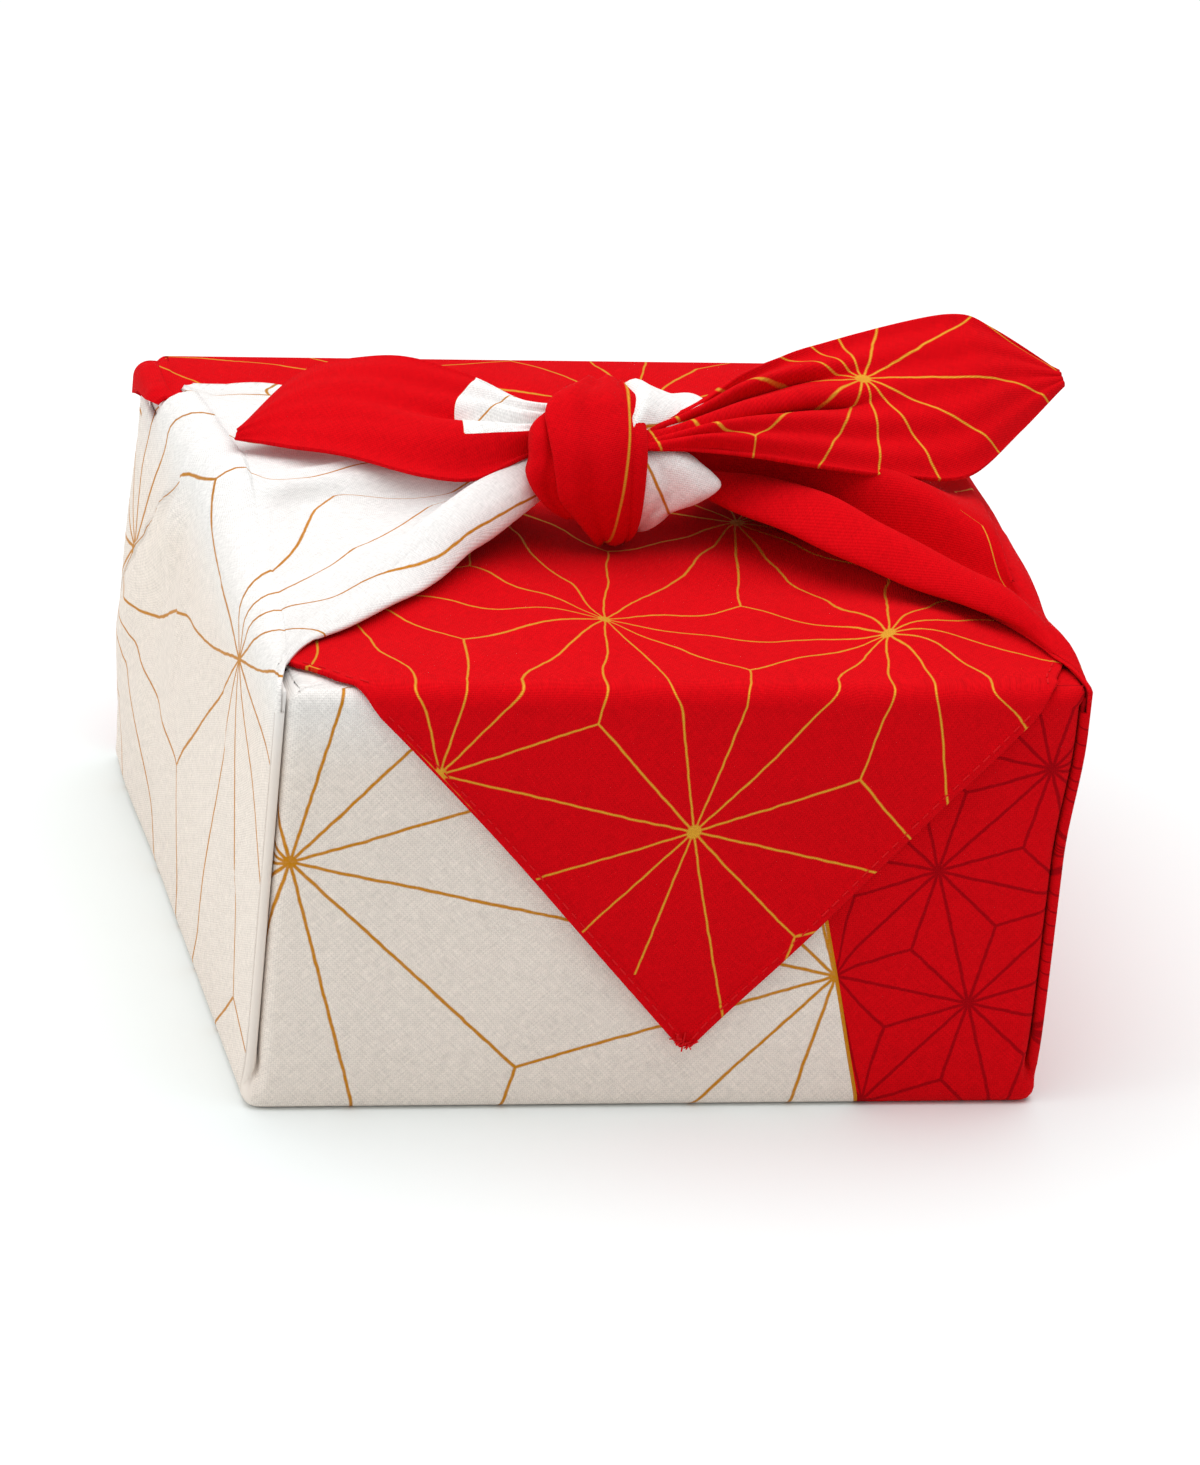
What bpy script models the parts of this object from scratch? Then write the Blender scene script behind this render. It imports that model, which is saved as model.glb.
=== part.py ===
"""Furoshiki wrap: one square cotton cloth folded round a gift box and tied in a square knot on top.

The whole cloth is one solid. Its middle surface is laid out below as a base, four walls with a
tucked gusset at each upright edge, and four arms. The front arm goes under, the back arm comes
over the top and hangs down the front as a triangle, and the left and right arms rise to the knot.
Sizes are in millimetres until they reach the mesh. +X is right, -Y is the front, +Z is up.
"""

import math

import bmesh
import bpy
import numpy as np

MM = 0.001

# Driving sizes of the wrapped box
WIDTH = 200.0  # over the outer faces, left to right
DEPTH = 210.0  # over the outer faces, front to back
HEIGHT = 113.0  # table to the upper face of the back arm

# Cloth and how its layers lie
CLOTH = 1.1  # thickness of one layer
PITCH = 1.5  # middle of one layer to the middle of the next
EDGE_RADIUS = 3.0  # bend of the cloth over a box edge
UPRIGHT_RADIUS = 4.0  # bend of the front and back panels round an upright edge
GUSSET_START = 12.0  # height at which the tuck of a gusset opens
GUSSET_TOP = 106.0  # height at which the modelled tuck stops
GUSSET_SLOPE = 0.85  # depth of the tuck for each millimetre of height
GUSSET_LOOSE = 0.9  # extra room between the layers where the tuck opens

# Places of the middle surfaces
FLOOR_MID = CLOTH / 2
SIDE_MID = WIDTH / 2 - CLOTH / 2
INNER_MID = SIDE_MID - 2 * PITCH
PANEL_MID = DEPTH / 2 - CLOTH / 2
BACK_ARM_MID = HEIGHT - CLOTH / 2
FRONT_ARM_MID = BACK_ARM_MID - PITCH
SIDE_ARM_MID = BACK_ARM_MID + PITCH
APRON_MID = PANEL_MID + PITCH + 0.3

# How finely the cloth is divided
PANEL_COLUMNS = 12
SIDE_COLUMNS = 20
ARM_ROWS = 9
TAIL_ROWS = 12
TAIL_COLUMNS = 8

# Slack of the cloth
TOP_WAVE = 0.7  # height of the low waves in the top
SIDE_BULGE = 2.2  # how far the side panels stand off the box in their middle
REAR_BULGE = 3.2  # extra slack of the left panel near its rear edge

# Apron: the triangle of the back arm that hangs down the front
APRON_TIP = (8.4, 16.5)  # x and z
APRON_LEFT_TOP = -76.4
APRON_RIGHT_TOP = 92.1
APRON_ROWS = 8

# Rows of the back arm across the top: y, left edge, right edge
BACK_ARM_ROWS = (
    (96.0, -94.6, 94.6),
    (80.0, -95.0, 95.0),
    (55.0, -95.0, 95.0),
    (30.0, -95.0, 95.0),
    (5.0, -95.0, 95.0),
    (-20.0, -95.0, 95.0),
    (-45.0, -95.0, 95.0),
    (-68.0, -95.0, 95.0),
    (-87.0, -94.5, 95.0),
)

# Guides of the left arm, from its front hem to its rear fold. Each is: y where it leaves the wall,
# height above the top where it passes the edge, then x, y, height at five stations to the knot.
LEFT_ARM = (
    (-101, 1.0, (-90, -83, 1.1), (-74, -66, 1.4), (-54, -49, 3.0), (-35, -31, 8.5), (-15, -17, 13)),
    (-60, 1.1, (-91, -55, 1.2), (-76, -44, 2.0), (-57, -30, 3.8), (-38, -19, 8.0), (-15, -14, 16)),
    (4, 4.2, (-91, 4, 5.4), (-78, 5, 6.8), (-61, 0, 8.0), (-41, -9, 10.5), (-15, -9, 18)),
    (48, 1.8, (-91, 46, 2.4), (-78, 45, 3.2), (-60, 34, 5.0), (-40, 12, 9.0), (-15, -3, 17)),
    (101, 1.0, (-91, 84, 1.1), (-78, 81, 1.5), (-58, 72, 2.4), (-39, 36, 5.5), (-15, 3, 11)),
)

# Guides of the right arm, from the tuck under its front fold to its rear fold
RIGHT_ARM = (
    (-101, 1.0, (91, -72, 1.1), (80, -54, 1.2), (64, -43, 2.4), (45, -30, 5.0), (20, -13, 10)),
    (-95, 1.6, (92, -80, 3.0), (81, -66, 4.4), (65, -56, 6.5), (44, -41, 10.0), (20, -20, 14)),
    (-85, 4.0, (91, -70, 7.0), (80, -55, 10.0), (64, -40, 14.0), (44, -28, 16.5), (20, -16, 19)),
    (-70, 2.4, (92, -57, 4.0), (84, -42, 7.0), (69, -27, 10.5), (45, -16, 13.5), (20, -11, 17)),
    (-55, 4.0, (92, -44, 6.6), (85, -28, 9.6), (69, -10, 13.5), (45, -8, 15.0), (20, -7, 18)),
    (4, 2.2, (91, 6, 3.4), (82, 9, 5.2), (66, 14, 7.5), (45, 6, 11.0), (20, -3, 16)),
    (101, 1.0, (91, 84, 1.2), (78, 80, 1.8), (60, 68, 3.0), (42, 36, 6.5), (20, 3, 10)),
)
ARM_TIMES = (0.0, 0.07, 0.22, 0.45, 0.7, 1.0)  # share of the way to the knot at each station

# Tails. Each row is a station: x, y, height above the top of the front hem, then of the rear hem.
LEFT_TAIL = (
    (-12, -14, 22, -12, -5, 32),
    (-34, -15, 17.5, -35, 17, 33),
    (-49, -9, 15.5, -50, 33, 29),
    (-68, 6, 14, -62, 40, 25),
    (-80, 15, 13, -73, 42, 19.5),
    (-90.5, 21, 12, -89, 24, 13.5),
)
RIGHT_TAIL = (
    (14, -18, 23, 14, -2, 32),
    (45, -21, 20.5, 44, 12, 38),
    (72, -20, 20, 66, 17, 43),
    (90, -18, 20, 90, 19, 48),
    (105, -6, 27, 101, 16, 45.5),
    (118, 6, 34, 117, 10, 37),
)
TAIL_CAMBER = 3.0

# Knot loops: x range, y and height of the middle, outer radius
RED_LOOP = (-19.5, 9.5, -9.0, 20.8, 20.2)
WHITE_LOOP = (5.0, 25.5, -9.0, 19.5, 17.0)
LOOP_STEPS = 34
LOOP_ROWS = 12


def clear_scene():
    for old in list(bpy.data.objects):
        bpy.data.objects.remove(old, do_unlink=True)


def smooth(value):
    value = min(max(value, 0.0), 1.0)
    return value * value * (3 - 2 * value)


def top_wave(x, y):
    """Low waves of the slack cloth on top, gone at the box edges."""
    fade = smooth((WIDTH / 2 - abs(x)) / 30) * smooth((DEPTH / 2 - abs(y)) / 24)
    wave = math.sin(x / 17 + y / 41) * math.cos(y / 19 - x / 53)
    return TOP_WAVE * fade * wave


def side_slack(side, y, z):
    """How far a side panel stands off the box."""
    share = math.sin(math.pi * min(max(z / HEIGHT, 0), 1))
    width = math.cos(math.pi * min(max(y / DEPTH, -0.5), 0.5))
    slack = SIDE_BULGE * share * width
    if side < 0:
        slack += REAR_BULGE * share * math.exp(-(((y - 72) / 26) ** 2))
    return slack


def spline(points, t, times=None):
    """Point at t (0 to 1) of a smooth curve that passes each point at its time."""
    points = np.asarray(points, float)
    if times is None:
        times = np.linspace(0, 1, len(points))
    slopes = np.gradient(points, np.asarray(times, float), axis=0)
    i = min(max(int(np.searchsorted(times, t, "right")) - 1, 0), len(points) - 2)
    span = times[i + 1] - times[i]
    f = (t - times[i]) / span
    here = (1 + 2 * f) * (1 - f) ** 2 * points[i] + f * (1 - f) ** 2 * span * slopes[i]
    there = f**2 * (3 - 2 * f) * points[i + 1] + f**2 * (f - 1) * span * slopes[i + 1]
    return here + there


def gusset(z):
    """Plan points of the front-right gusset, from the front panel round to the side panel.

    Above its start the cloth goes in behind the side panel, turns at the crease and comes back
    out. Below it the corner is plainly rounded.
    """
    r = UPRIGHT_RADIUS
    depth = 1.5 + max(0.0, GUSSET_SLOPE * (z - GUSSET_START))
    loose = math.exp(-(z - GUSSET_START) / 6)
    pitch = PITCH + GUSSET_LOOSE * loose
    turn = pitch / 2
    x = SIDE_MID - 2 * pitch
    y = -PANEL_MID + r
    back = -PANEL_MID + 1.4 + 2.8 * loose
    first = (INNER_MID - r, -PANEL_MID)
    points = [first, (x - r * 0.293, -PANEL_MID + r * 0.293), (x, y)]
    points += [(x, y + depth * 0.5), (x, y + depth)]
    for angle in (45, 90, 135):
        a = math.radians(angle)
        points.append((x + turn - turn * math.cos(a), y + depth + turn * math.sin(a)))
    x += pitch
    points += [(x, y + depth), (x, (y + depth + back) / 2), (x, back)]
    for angle in (45, 90, 135):
        a = math.radians(angle)
        points.append((x + turn - turn * math.cos(a), back - turn * math.sin(a)))
    points.append((x + pitch, back))
    if z >= GUSSET_START:
        return points
    radius = SIDE_MID - first[0]
    for i in range(len(points)):
        a = math.radians(90 * i / (len(points) - 1))
        x = first[0] + radius * math.sin(a)
        points[i] = (x, -PANEL_MID + radius - radius * math.cos(a))
    return points


GUSSET_POINTS = len(gusset(HEIGHT))


def side_columns(guides):
    """Wall y of every column between the gussets, following the guides of an arm."""
    walls = [g[0] for g in guides]
    return [
        float(np.interp(i / SIDE_COLUMNS * (len(walls) - 1), range(len(walls)), walls))
        for i in range(SIDE_COLUMNS + 1)
    ]


LEFT_COLUMNS = side_columns(LEFT_ARM)
RIGHT_COLUMNS = side_columns(RIGHT_ARM)


def ring(z, inset=0.0):
    """Closed plan loop of the walls at a height, counter-clockwise from the front-left corner."""
    corner = gusset(z)
    half = corner[0][0]
    loop = []
    front = [(-half + 2 * half * i / PANEL_COLUMNS, -PANEL_MID) for i in range(PANEL_COLUMNS + 1)]
    loop += front[:-1] + corner
    reach = (-corner[-1][1] - 1.5) / RIGHT_COLUMNS[-1]
    for side, columns in ((1, RIGHT_COLUMNS), (-1, LEFT_COLUMNS)):
        walls = [(side * (SIDE_MID + side_slack(side, y, z)), y * reach) for y in columns]
        if side > 0:
            loop += walls
            loop += [(x, -y) for x, y in reversed(corner)]
            loop += [(-x, -y) for x, y in front[1:-1]]
        else:
            loop += [(-x, -y) for x, y in corner]
            loop += list(reversed(walls))
            loop += [(-x, y) for x, y in reversed(corner)][:-1]
    loop = np.array(loop)
    if inset:
        ahead = np.roll(loop, -1, axis=0) - np.roll(loop, 1, axis=0)
        ahead /= np.linalg.norm(ahead, axis=1, keepdims=True)
        loop = loop - inset * np.stack([ahead[:, 1], -ahead[:, 0]], axis=1)
    return loop


def outward(loop):
    ahead = np.roll(loop, -1, axis=0) - np.roll(loop, 1, axis=0)
    ahead /= np.linalg.norm(ahead, axis=1, keepdims=True)
    return np.stack([ahead[:, 1], -ahead[:, 0]], axis=1)


class Sheet:
    """A middle surface built point by point."""

    def __init__(self):
        self.mesh = bmesh.new()

    def point(self, x, y, z):
        return self.mesh.verts.new((x * MM, y * MM, z * MM))

    def row(self, points):
        return [self.point(*p) for p in points]

    def face(self, *corners):
        self.mesh.faces.new(corners)

    def strip(self, lower, upper):
        """Quads between two rows of the same length, outward when they run counter-clockwise."""
        for i in range(len(lower) - 1):
            self.face(lower[i], lower[i + 1], upper[i + 1], upper[i])

    def thick_object(self, name, collection, offset=0.0):
        mesh = bpy.data.meshes.new(name)
        self.mesh.normal_update()
        self.mesh.to_mesh(mesh)
        self.mesh.free()
        obj = bpy.data.objects.new(name, mesh)
        collection.objects.link(obj)
        solid = obj.modifiers.new("cloth thickness", "SOLIDIFY")
        solid.thickness = CLOTH * MM
        solid.offset = offset
        solid.use_quality_normals = True
        return obj


def wall_slices():
    """Index ranges of the four arms in a wall loop."""
    n = PANEL_COLUMNS
    s = SIDE_COLUMNS + 1
    g = GUSSET_POINTS
    front_start = 0
    right_start = n + g
    back_start = right_start + s + g - 1
    left_start = back_start + n + g
    total = left_start + s + g - 1
    return front_start, right_start, back_start, left_start, total


def build_walls(sheet):
    """Base, walls and gussets. Returns the top loop of points and its plan positions."""
    rows = []
    for angle in (0, 45):
        a = math.radians(angle)
        inset = EDGE_RADIUS * (1 - math.sin(a))
        rows.append((FLOOR_MID + EDGE_RADIUS * (1 - math.cos(a)), inset))
    rows.append((FLOOR_MID + EDGE_RADIUS, 0.0))
    for z in (8.0, GUSSET_START, 20.0, 40.0, 62.0, 84.0, GUSSET_TOP):
        rows.append((z, 0.0))
    loops = []
    for z, inset in rows:
        plan = ring(z, inset)
        loops.append([sheet.point(x, y, z) for x, y in plan])
    sheet.face(*reversed(loops[0]))
    for lower, upper in zip(loops, loops[1:]):
        for i in range(len(lower)):
            j = (i + 1) % len(lower)
            sheet.face(lower[i], lower[j], upper[j], upper[i])
    return loops[-1], ring(GUSSET_TOP)


def fold_over(sheet, points, plan, normals, tops):
    """Carries a run of wall columns up and over a top edge. Returns the last row."""
    row = points
    for angle in (0, 30, 60, 90):
        a = math.radians(angle)
        drop = EDGE_RADIUS * (1 - math.sin(a))
        inset = EDGE_RADIUS * (1 - math.cos(a))
        following = [
            sheet.point(x - inset * nx, y - inset * ny, top - drop)
            for (x, y), (nx, ny), top in zip(plan, normals, tops)
        ]
        sheet.strip(row, following)
        row = following
    return row


def arm_run(loop, plan, normals, first, count):
    index = [i % len(loop) for i in range(first, first + count)]
    return [loop[i] for i in index], plan[index], normals[index]


def build_front_arm(sheet, run):
    """The front arm goes over the top edge and lies under the back arm."""
    row = fold_over(sheet, *run, [FRONT_ARM_MID] * len(run[0]))
    for y, half in ((-96.0, 94.6), (-84.0, 95.0), (-64.0, 86.0), (-40.0, 62.0)):
        xs = np.linspace(-half, half, len(row))
        following = sheet.row([(x, y, FRONT_ARM_MID + top_wave(x, y)) for x in xs])
        sheet.strip(row, following)
        row = following


def build_back_arm(sheet, run):
    """The back arm crosses the top and hangs down the front as a triangle."""
    row = fold_over(sheet, *run, [BACK_ARM_MID] * len(run[0]))
    count = len(row)
    for y, left, right in BACK_ARM_ROWS:
        xs = np.linspace(right, left, count)
        following = sheet.row([(x, y, BACK_ARM_MID + top_wave(x, y)) for x in xs])
        sheet.strip(row, following)
        row = following
    bend = APRON_MID - PANEL_MID + EDGE_RADIUS
    for angle in (0, 30, 60, 90):
        a = math.radians(angle)
        y = -APRON_MID + bend * (1 - math.sin(a))
        z = BACK_ARM_MID - bend * (1 - math.cos(a))
        near = angle / 90
        left = APRON_LEFT_TOP - 4.0 * (1 - near) + 3.5 * near
        right = APRON_RIGHT_TOP + 1.5 * (1 - near) - 3.0 * near
        following = sheet.row([(x, y, z) for x in np.linspace(right, left, count)])
        sheet.strip(row, following)
        row = following
    top = BACK_ARM_MID - bend
    tip_x, tip_z = APRON_TIP
    for k in range(1, APRON_ROWS + 1):
        share = k / APRON_ROWS
        z = top + (tip_z - top) * share
        xs = np.linspace(right + (tip_x - right) * share, left + (tip_x - left) * share, count - 2 * k)
        lift = 0.8 * math.sin(math.pi * share)
        following = sheet.row([(x, -APRON_MID - lift, z) for x in xs])
        sheet.face(row[0], row[1], following[0])
        sheet.face(row[-2], row[-1], following[-1])
        sheet.strip(row[1:-1], following)
        row = following


def build_side_arm(sheet, run, guides, side):
    """A side arm goes over its top edge and gathers up to the knot."""
    points, plan, normals = run
    count = len(points)
    shares = [i / (count - 1) for i in range(count)]
    if side < 0:
        shares.reverse()
    lifts = [g[1] for g in guides]
    tops = [HEIGHT + float(spline(lifts, u)) for u in shares]
    row = fold_over(sheet, points, plan, [(side, 0.0)] * count, tops)
    edge = side * (SIDE_MID - EDGE_RADIUS)
    paths = [((edge, g[0] * 1.02, g[1]),) + g[2:] for g in guides]
    low = SIDE_ARM_MID - HEIGHT
    for k in range(1, ARM_ROWS + 1):
        t = (k / ARM_ROWS) ** 1.15
        across = [spline(path, t, ARM_TIMES) for path in paths]
        following = []
        for u in shares:
            x, y, lift = spline(across, u)
            lift = max(lift, low) + top_wave(x, y) * (1 - smooth(lift / 8))
            following.append((x, y, HEIGHT + lift))
        made = sheet.row(following)
        sheet.strip(row, made)
        row = made


def tail(name, stations, collection, outward_first):
    """One leaf-shaped tail of the knot."""
    sheet = Sheet()
    before = None
    for k in range(TAIL_ROWS + 1):
        t = k / TAIL_ROWS
        station = spline(stations, t)
        a, b = station[:3], station[3:]
        points = []
        for i in range(TAIL_COLUMNS + 1):
            u = i / TAIL_COLUMNS
            x, y, z = a + (b - a) * u
            gather = math.exp(-5 * t) * 1.6 * math.cos(u * math.pi * 4)
            camber = TAIL_CAMBER * math.sin(math.pi * u) * math.sin(math.pi * min(t + 0.2, 1))
            points.append((x, y, HEIGHT + z + camber + gather))
        if not outward_first:
            points.reverse()
        made = sheet.row(points)
        if before:
            sheet.strip(before, made)
        before = made
    return sheet.thick_object(name, collection)


def loop_of_knot(name, sizes, collection):
    """A rounded band of gathered cloth that wraps the two strands passing through it."""
    left, right, y0, z0, radius = sizes
    sheet = Sheet()
    rows = []
    for k in range(LOOP_ROWS + 1):
        s = -1 + 2 * k / LOOP_ROWS
        fill = (1 - abs(s) ** 3.2) ** (1 / 3.2) if abs(s) < 1 else 0.0
        r = radius * (0.62 + 0.38 * fill)
        x = (left + right) / 2 + (right - left) / 2 * s
        made = []
        for i in range(LOOP_STEPS):
            a = 2 * math.pi * i / LOOP_STEPS
            swell = 1 + 0.02 * math.sin(3 * a + 0.7) + 0.028 * math.cos(5.6 * s + 0.9 * math.sin(a))
            y = y0 + r * swell * math.cos(a)
            z = z0 + min(r * swell, radius) * math.sin(a)
            made.append(sheet.point(x, y, HEIGHT + max(z, 1.6)))
        rows.append(made)
    for lower, upper in zip(rows, rows[1:]):
        for i in range(LOOP_STEPS):
            j = (i + 1) % LOOP_STEPS
            sheet.face(lower[i], lower[j], upper[j], upper[i])
    sheet.face(*reversed(rows[0]))
    sheet.face(*rows[-1])
    mesh = bpy.data.meshes.new(name)
    bmesh.ops.recalc_face_normals(sheet.mesh, faces=sheet.mesh.faces)
    sheet.mesh.to_mesh(mesh)
    sheet.mesh.free()
    obj = bpy.data.objects.new(name, mesh)
    collection.objects.link(obj)
    return obj


def cloth_material():
    material = bpy.data.materials.new("printed cotton")
    material.use_nodes = True
    shader = material.node_tree.nodes["Principled BSDF"]
    shader.inputs["Base Color"].default_value = (0.62, 0.02, 0.025, 1)
    shader.inputs["Roughness"].default_value = 0.9
    return material


def main():
    clear_scene()
    kept = bpy.data.collections.new("furoshiki_wrap")
    helpers = bpy.data.collections.new("helpers")
    bpy.context.scene.collection.children.link(kept)
    bpy.context.scene.collection.children.link(helpers)

    sheet = Sheet()
    loop, plan = build_walls(sheet)
    normals = outward(plan)
    front, right, back, left, total = wall_slices()
    panel = PANEL_COLUMNS + 1
    side = SIDE_COLUMNS + 1
    build_front_arm(sheet, arm_run(loop, plan, normals, front - 2, panel + 4))
    build_side_arm(sheet, arm_run(loop, plan, normals, right - 2, side + 4), RIGHT_ARM, 1)
    build_back_arm(sheet, arm_run(loop, plan, normals, back - 2, panel + 4))
    build_side_arm(sheet, arm_run(loop, plan, normals, left - 2, side + 4), LEFT_ARM, -1)
    cloth = sheet.thick_object("furoshiki_cloth", kept)
    cloth.data.materials.append(cloth_material())

    pieces = (
        tail("left tail", LEFT_TAIL, helpers, True),
        tail("right tail", RIGHT_TAIL, helpers, False),
        loop_of_knot("red loop", RED_LOOP, helpers),
        loop_of_knot("white loop", WHITE_LOOP, helpers),
    )
    for piece in pieces:
        piece.hide_render = True
        piece.display_type = "WIRE"
        join = cloth.modifiers.new("join " + piece.name, "BOOLEAN")
        join.operation = "UNION"
        join.solver = "EXACT"
        join.object = piece
    helpers.hide_render = True


main()
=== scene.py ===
"""Furoshiki wrap: a printed cotton square folded round a gift box and tied in a square knot.

The wrapped cloth is one fine middle surface (base, walls with their gussets, four arms), given its
thickness at the end. The two loops and the two tails of the knot are pieces of their own. Every
cloth carries its print in a UV layer measured in metres along the cloth. Sizes are in millimetres
until they reach a mesh. +X is right, -Y is the front, +Z is up.
"""

import math

import bpy
import numpy as np
from mathutils import Matrix


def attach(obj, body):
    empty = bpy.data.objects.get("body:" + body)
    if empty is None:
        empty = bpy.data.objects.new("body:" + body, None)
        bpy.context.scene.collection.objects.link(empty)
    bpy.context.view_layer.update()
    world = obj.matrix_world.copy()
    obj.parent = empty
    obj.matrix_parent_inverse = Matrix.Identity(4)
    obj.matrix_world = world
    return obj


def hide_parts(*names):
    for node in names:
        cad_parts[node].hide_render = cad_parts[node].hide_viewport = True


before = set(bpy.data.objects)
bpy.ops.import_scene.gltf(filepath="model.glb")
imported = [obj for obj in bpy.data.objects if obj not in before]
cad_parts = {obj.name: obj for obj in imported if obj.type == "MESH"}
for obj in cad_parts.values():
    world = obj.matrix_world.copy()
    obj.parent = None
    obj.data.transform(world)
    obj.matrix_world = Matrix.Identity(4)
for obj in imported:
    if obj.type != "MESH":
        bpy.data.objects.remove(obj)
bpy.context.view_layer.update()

MM = 0.001
ROOT3 = math.sqrt(3.0)
QUARTER = tuple(math.radians(15 * i) for i in range(7))  # angles round a top edge
QUARTER_STEPS = tuple(math.radians(22.5 * i) for i in range(5))  # angles round a lower edge

# The camera: yaw, pitch and roll in degrees, what it looks at and from how far, in metres
CAMERA_TURN = (13.7, 23.8, 5.6)
CAMERA_TARGET = (0.0054, 0.0, 0.0538)
CAMERA_DISTANCE = 2.402
CAMERA_LENS = 232.86

# The wrapped box and its cloth
WIDTH = 200.0
DEPTH = 210.0
HEIGHT = 113.0
CLOTH = 1.1  # thickness of one layer
PITCH = 1.5  # from the middle of one layer to the next
EDGE_RADIUS = 3.0
UPRIGHT_RADIUS = 2.4
GUSSET_START = 12.0  # height where a gusset begins to tuck in
GUSSET_TOP = 106.0
GUSSET_SLOPE = 0.85  # how much deeper the tuck gets with each millimetre of height
SIDE_END = 101.0  # y of the last wall column of a side panel, at either end

# Middle surfaces of the layers
FLOOR_MID = CLOTH / 2
SIDE_MID = WIDTH / 2 - CLOTH / 2
INNER_MID = SIDE_MID - 2 * PITCH
PANEL_MID = DEPTH / 2 - CLOTH / 2
BACK_ARM_MID = HEIGHT - CLOTH / 2
FRONT_ARM_MID = BACK_ARM_MID - PITCH
SIDE_ARM_MID = BACK_ARM_MID + PITCH
APRON_MID = PANEL_MID + PITCH + 0.3

# How finely the cloth is divided
PANEL_COLUMNS = 80
SIDE_STEPS = 10  # columns between two guides of an arm
WALL_ROWS = 36
ARM_ROWS = 56
APRON_ROWS = 56
HEM_STEPS = 5
HEM_WIDTH = 3.2
HEM_RISE = 0.4
STITCH_RISE = 0.12

# The triangle of the back arm that hangs down the front: its tip, and x of its hems at the top
APRON_TIP = (8.4, 16.5)
APRON_LEFT_TOP = -76.4
APRON_RIGHT_TOP = 92.1
APRON_TIP_WIDTH = 3.0

# Guides of the left arm, from its front hem to its rear fold. Each is: y where it leaves the wall,
# height above the top where it passes the edge, then x, y, height at five stations to the knot.
LEFT_ARM = (
    (-SIDE_END, 1.0, (-91, -84, 1.1), (-76, -68, 1.2), (-57, -50, 1.7), (-38, -27, 4.0), (-15, -8, 13)),
    (-97, 1.0, (-91, -82, 1.4), (-76, -69.5, 2.2), (-57, -53.5, 3.6), (-38, -33, 7), (-15, -14, 15)),
    (-87, 1.4, (-90, -75, 1.9), (-76, -62, 3.6), (-57, -45, 7.6), (-38, -28.5, 13.4), (-15, -15, 20)),
    (-70, 1.8, (-90, -63.5, 2.4), (-76, -51, 4.4), (-57, -34.5, 9.2), (-38, -20, 16.8), (-15, -11, 24)),
    (-50, 2.0, (-87, -42, 2.2), (-76, -34, 2.8), (-57, -25, 4.8), (-38, -16.5, 11.5), (-15, -8.5, 21)),
    (-14, 3.6, (-86, -11, 3.8), (-76, -7, 4.0), (-57, -9.5, 6.2), (-38, -11, 11), (-15, -6, 19)),
    (10, 8.6, (-85, 2.5, 9.0), (-76, 3, 9.6), (-57, 4, 11.5), (-38, 1, 15.5), (-15, -1, 22)),
    (40, 6.2, (-85, 29, 6.4), (-76, 27, 6.6), (-60, 22, 8.4), (-40, 12, 12), (-15, 4, 20)),
    (74, 2.6, (-87, 68, 3.0), (-78, 64, 3.4), (-60, 50, 5), (-40, 26, 9.5), (-15, 6, 16)),
    (SIDE_END, -3.4, (-94, 86, -3.0), (-80, 82.5, 1.3), (-61, 74, 2.4), (-41, 40, 5.5), (-15, 4, 11)),
)

# Guides of the right arm, from the tuck under its front fold to its rear fold
RIGHT_ARM = (
    (-SIDE_END, 1.0, (91, -74, 1.1), (80, -48, 1.1), (64, -27, 1.2), (45, -7, 3), (20, -3, 9)),
    (-98, 1.4, (92, -76, 2.0), (81, -61, 3.4), (65, -46, 5.0), (45, -27, 7.5), (20, -10, 12)),
    (-93, 2.2, (92, -77.5, 3.8), (81, -67, 5.4), (65, -55, 7.4), (45, -36, 10), (20, -14, 14)),
    (-85, 4.4, (91, -69, 7.4), (81, -58, 10.6), (65, -43, 14.4), (45, -20, 17.6), (20, -13, 18)),
    (-70, 4.0, (92, -55, 4.0), (83, -44, 3.4), (67, -29, 4.4), (46, -13, 6.4), (20, -9, 16)),
    (-55, 7.5, (92, -42, 12), (83, -32, 16.5), (68, -20, 21.5), (46, -8, 23.5), (20, -5, 21)),
    (-20, 9.5, (93, -14, 11.5), (83, -5, 12), (67, 3, 11.5), (45, 3, 15), (20, -2, 19)),
    (32, 7.5, (92, 30, 8.8), (82, 30, 9), (64, 27, 9.5), (45, 14, 11), (20, 1, 16)),
    (SIDE_END, 1.0, (91, 84, 1.2), (78, 80, 1.8), (60, 68, 3), (42, 36, 6.5), (20, 3, 10)),
)
ARM_TIMES = (0.0, 0.07, 0.22, 0.45, 0.7, 1.0)  # shares of the way where an arm passes its stations
LEFT_EDGE = (3.0, 3.0, 5.0, 7.0, 8.0, 9.5, 10.5, 9.5, 7.0, 3.0)  # bend of each guide over the edge
RIGHT_EDGE = (3.0, 3.0, 3.0, 3.5, 4.5, 7.0, 9.0, 8.0, 3.0)

# Tails. Each row is a station: x, y, height above the top of the front hem, then of the rear hem.
LEFT_TAIL = (
    (-10, -11, 27, -10, -8, 34),
    (-25, -15, 21.8, -24, -4, 34),
    (-36, -15.5, 16.6, -35, 15, 33.5),
    (-49, -10, 15.0, -48, 32, 30),
    (-66, 4.5, 14.2, -60, 39.5, 26),
    (-79, 14, 13.2, -73, 42, 19.5),
    (-90.5, 21, 12, -89, 24, 13.5),
)
RIGHT_TAIL = (
    (1, -24.5, 28.5, 1, -21.5, 32.5),
    (17, -25, 29.5, 18, -12, 35),
    (32, -24, 27.5, 33, 2, 38),
    (47, -22, 24, 46, 12, 39),
    (72, -20, 20, 66, 17, 43),
    (90, -18, 20, 90, 19, 48),
    (105, -6, 27, 101, 16, 45.5),
    (118, 6, 34, 117, 10, 37),
)
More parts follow.
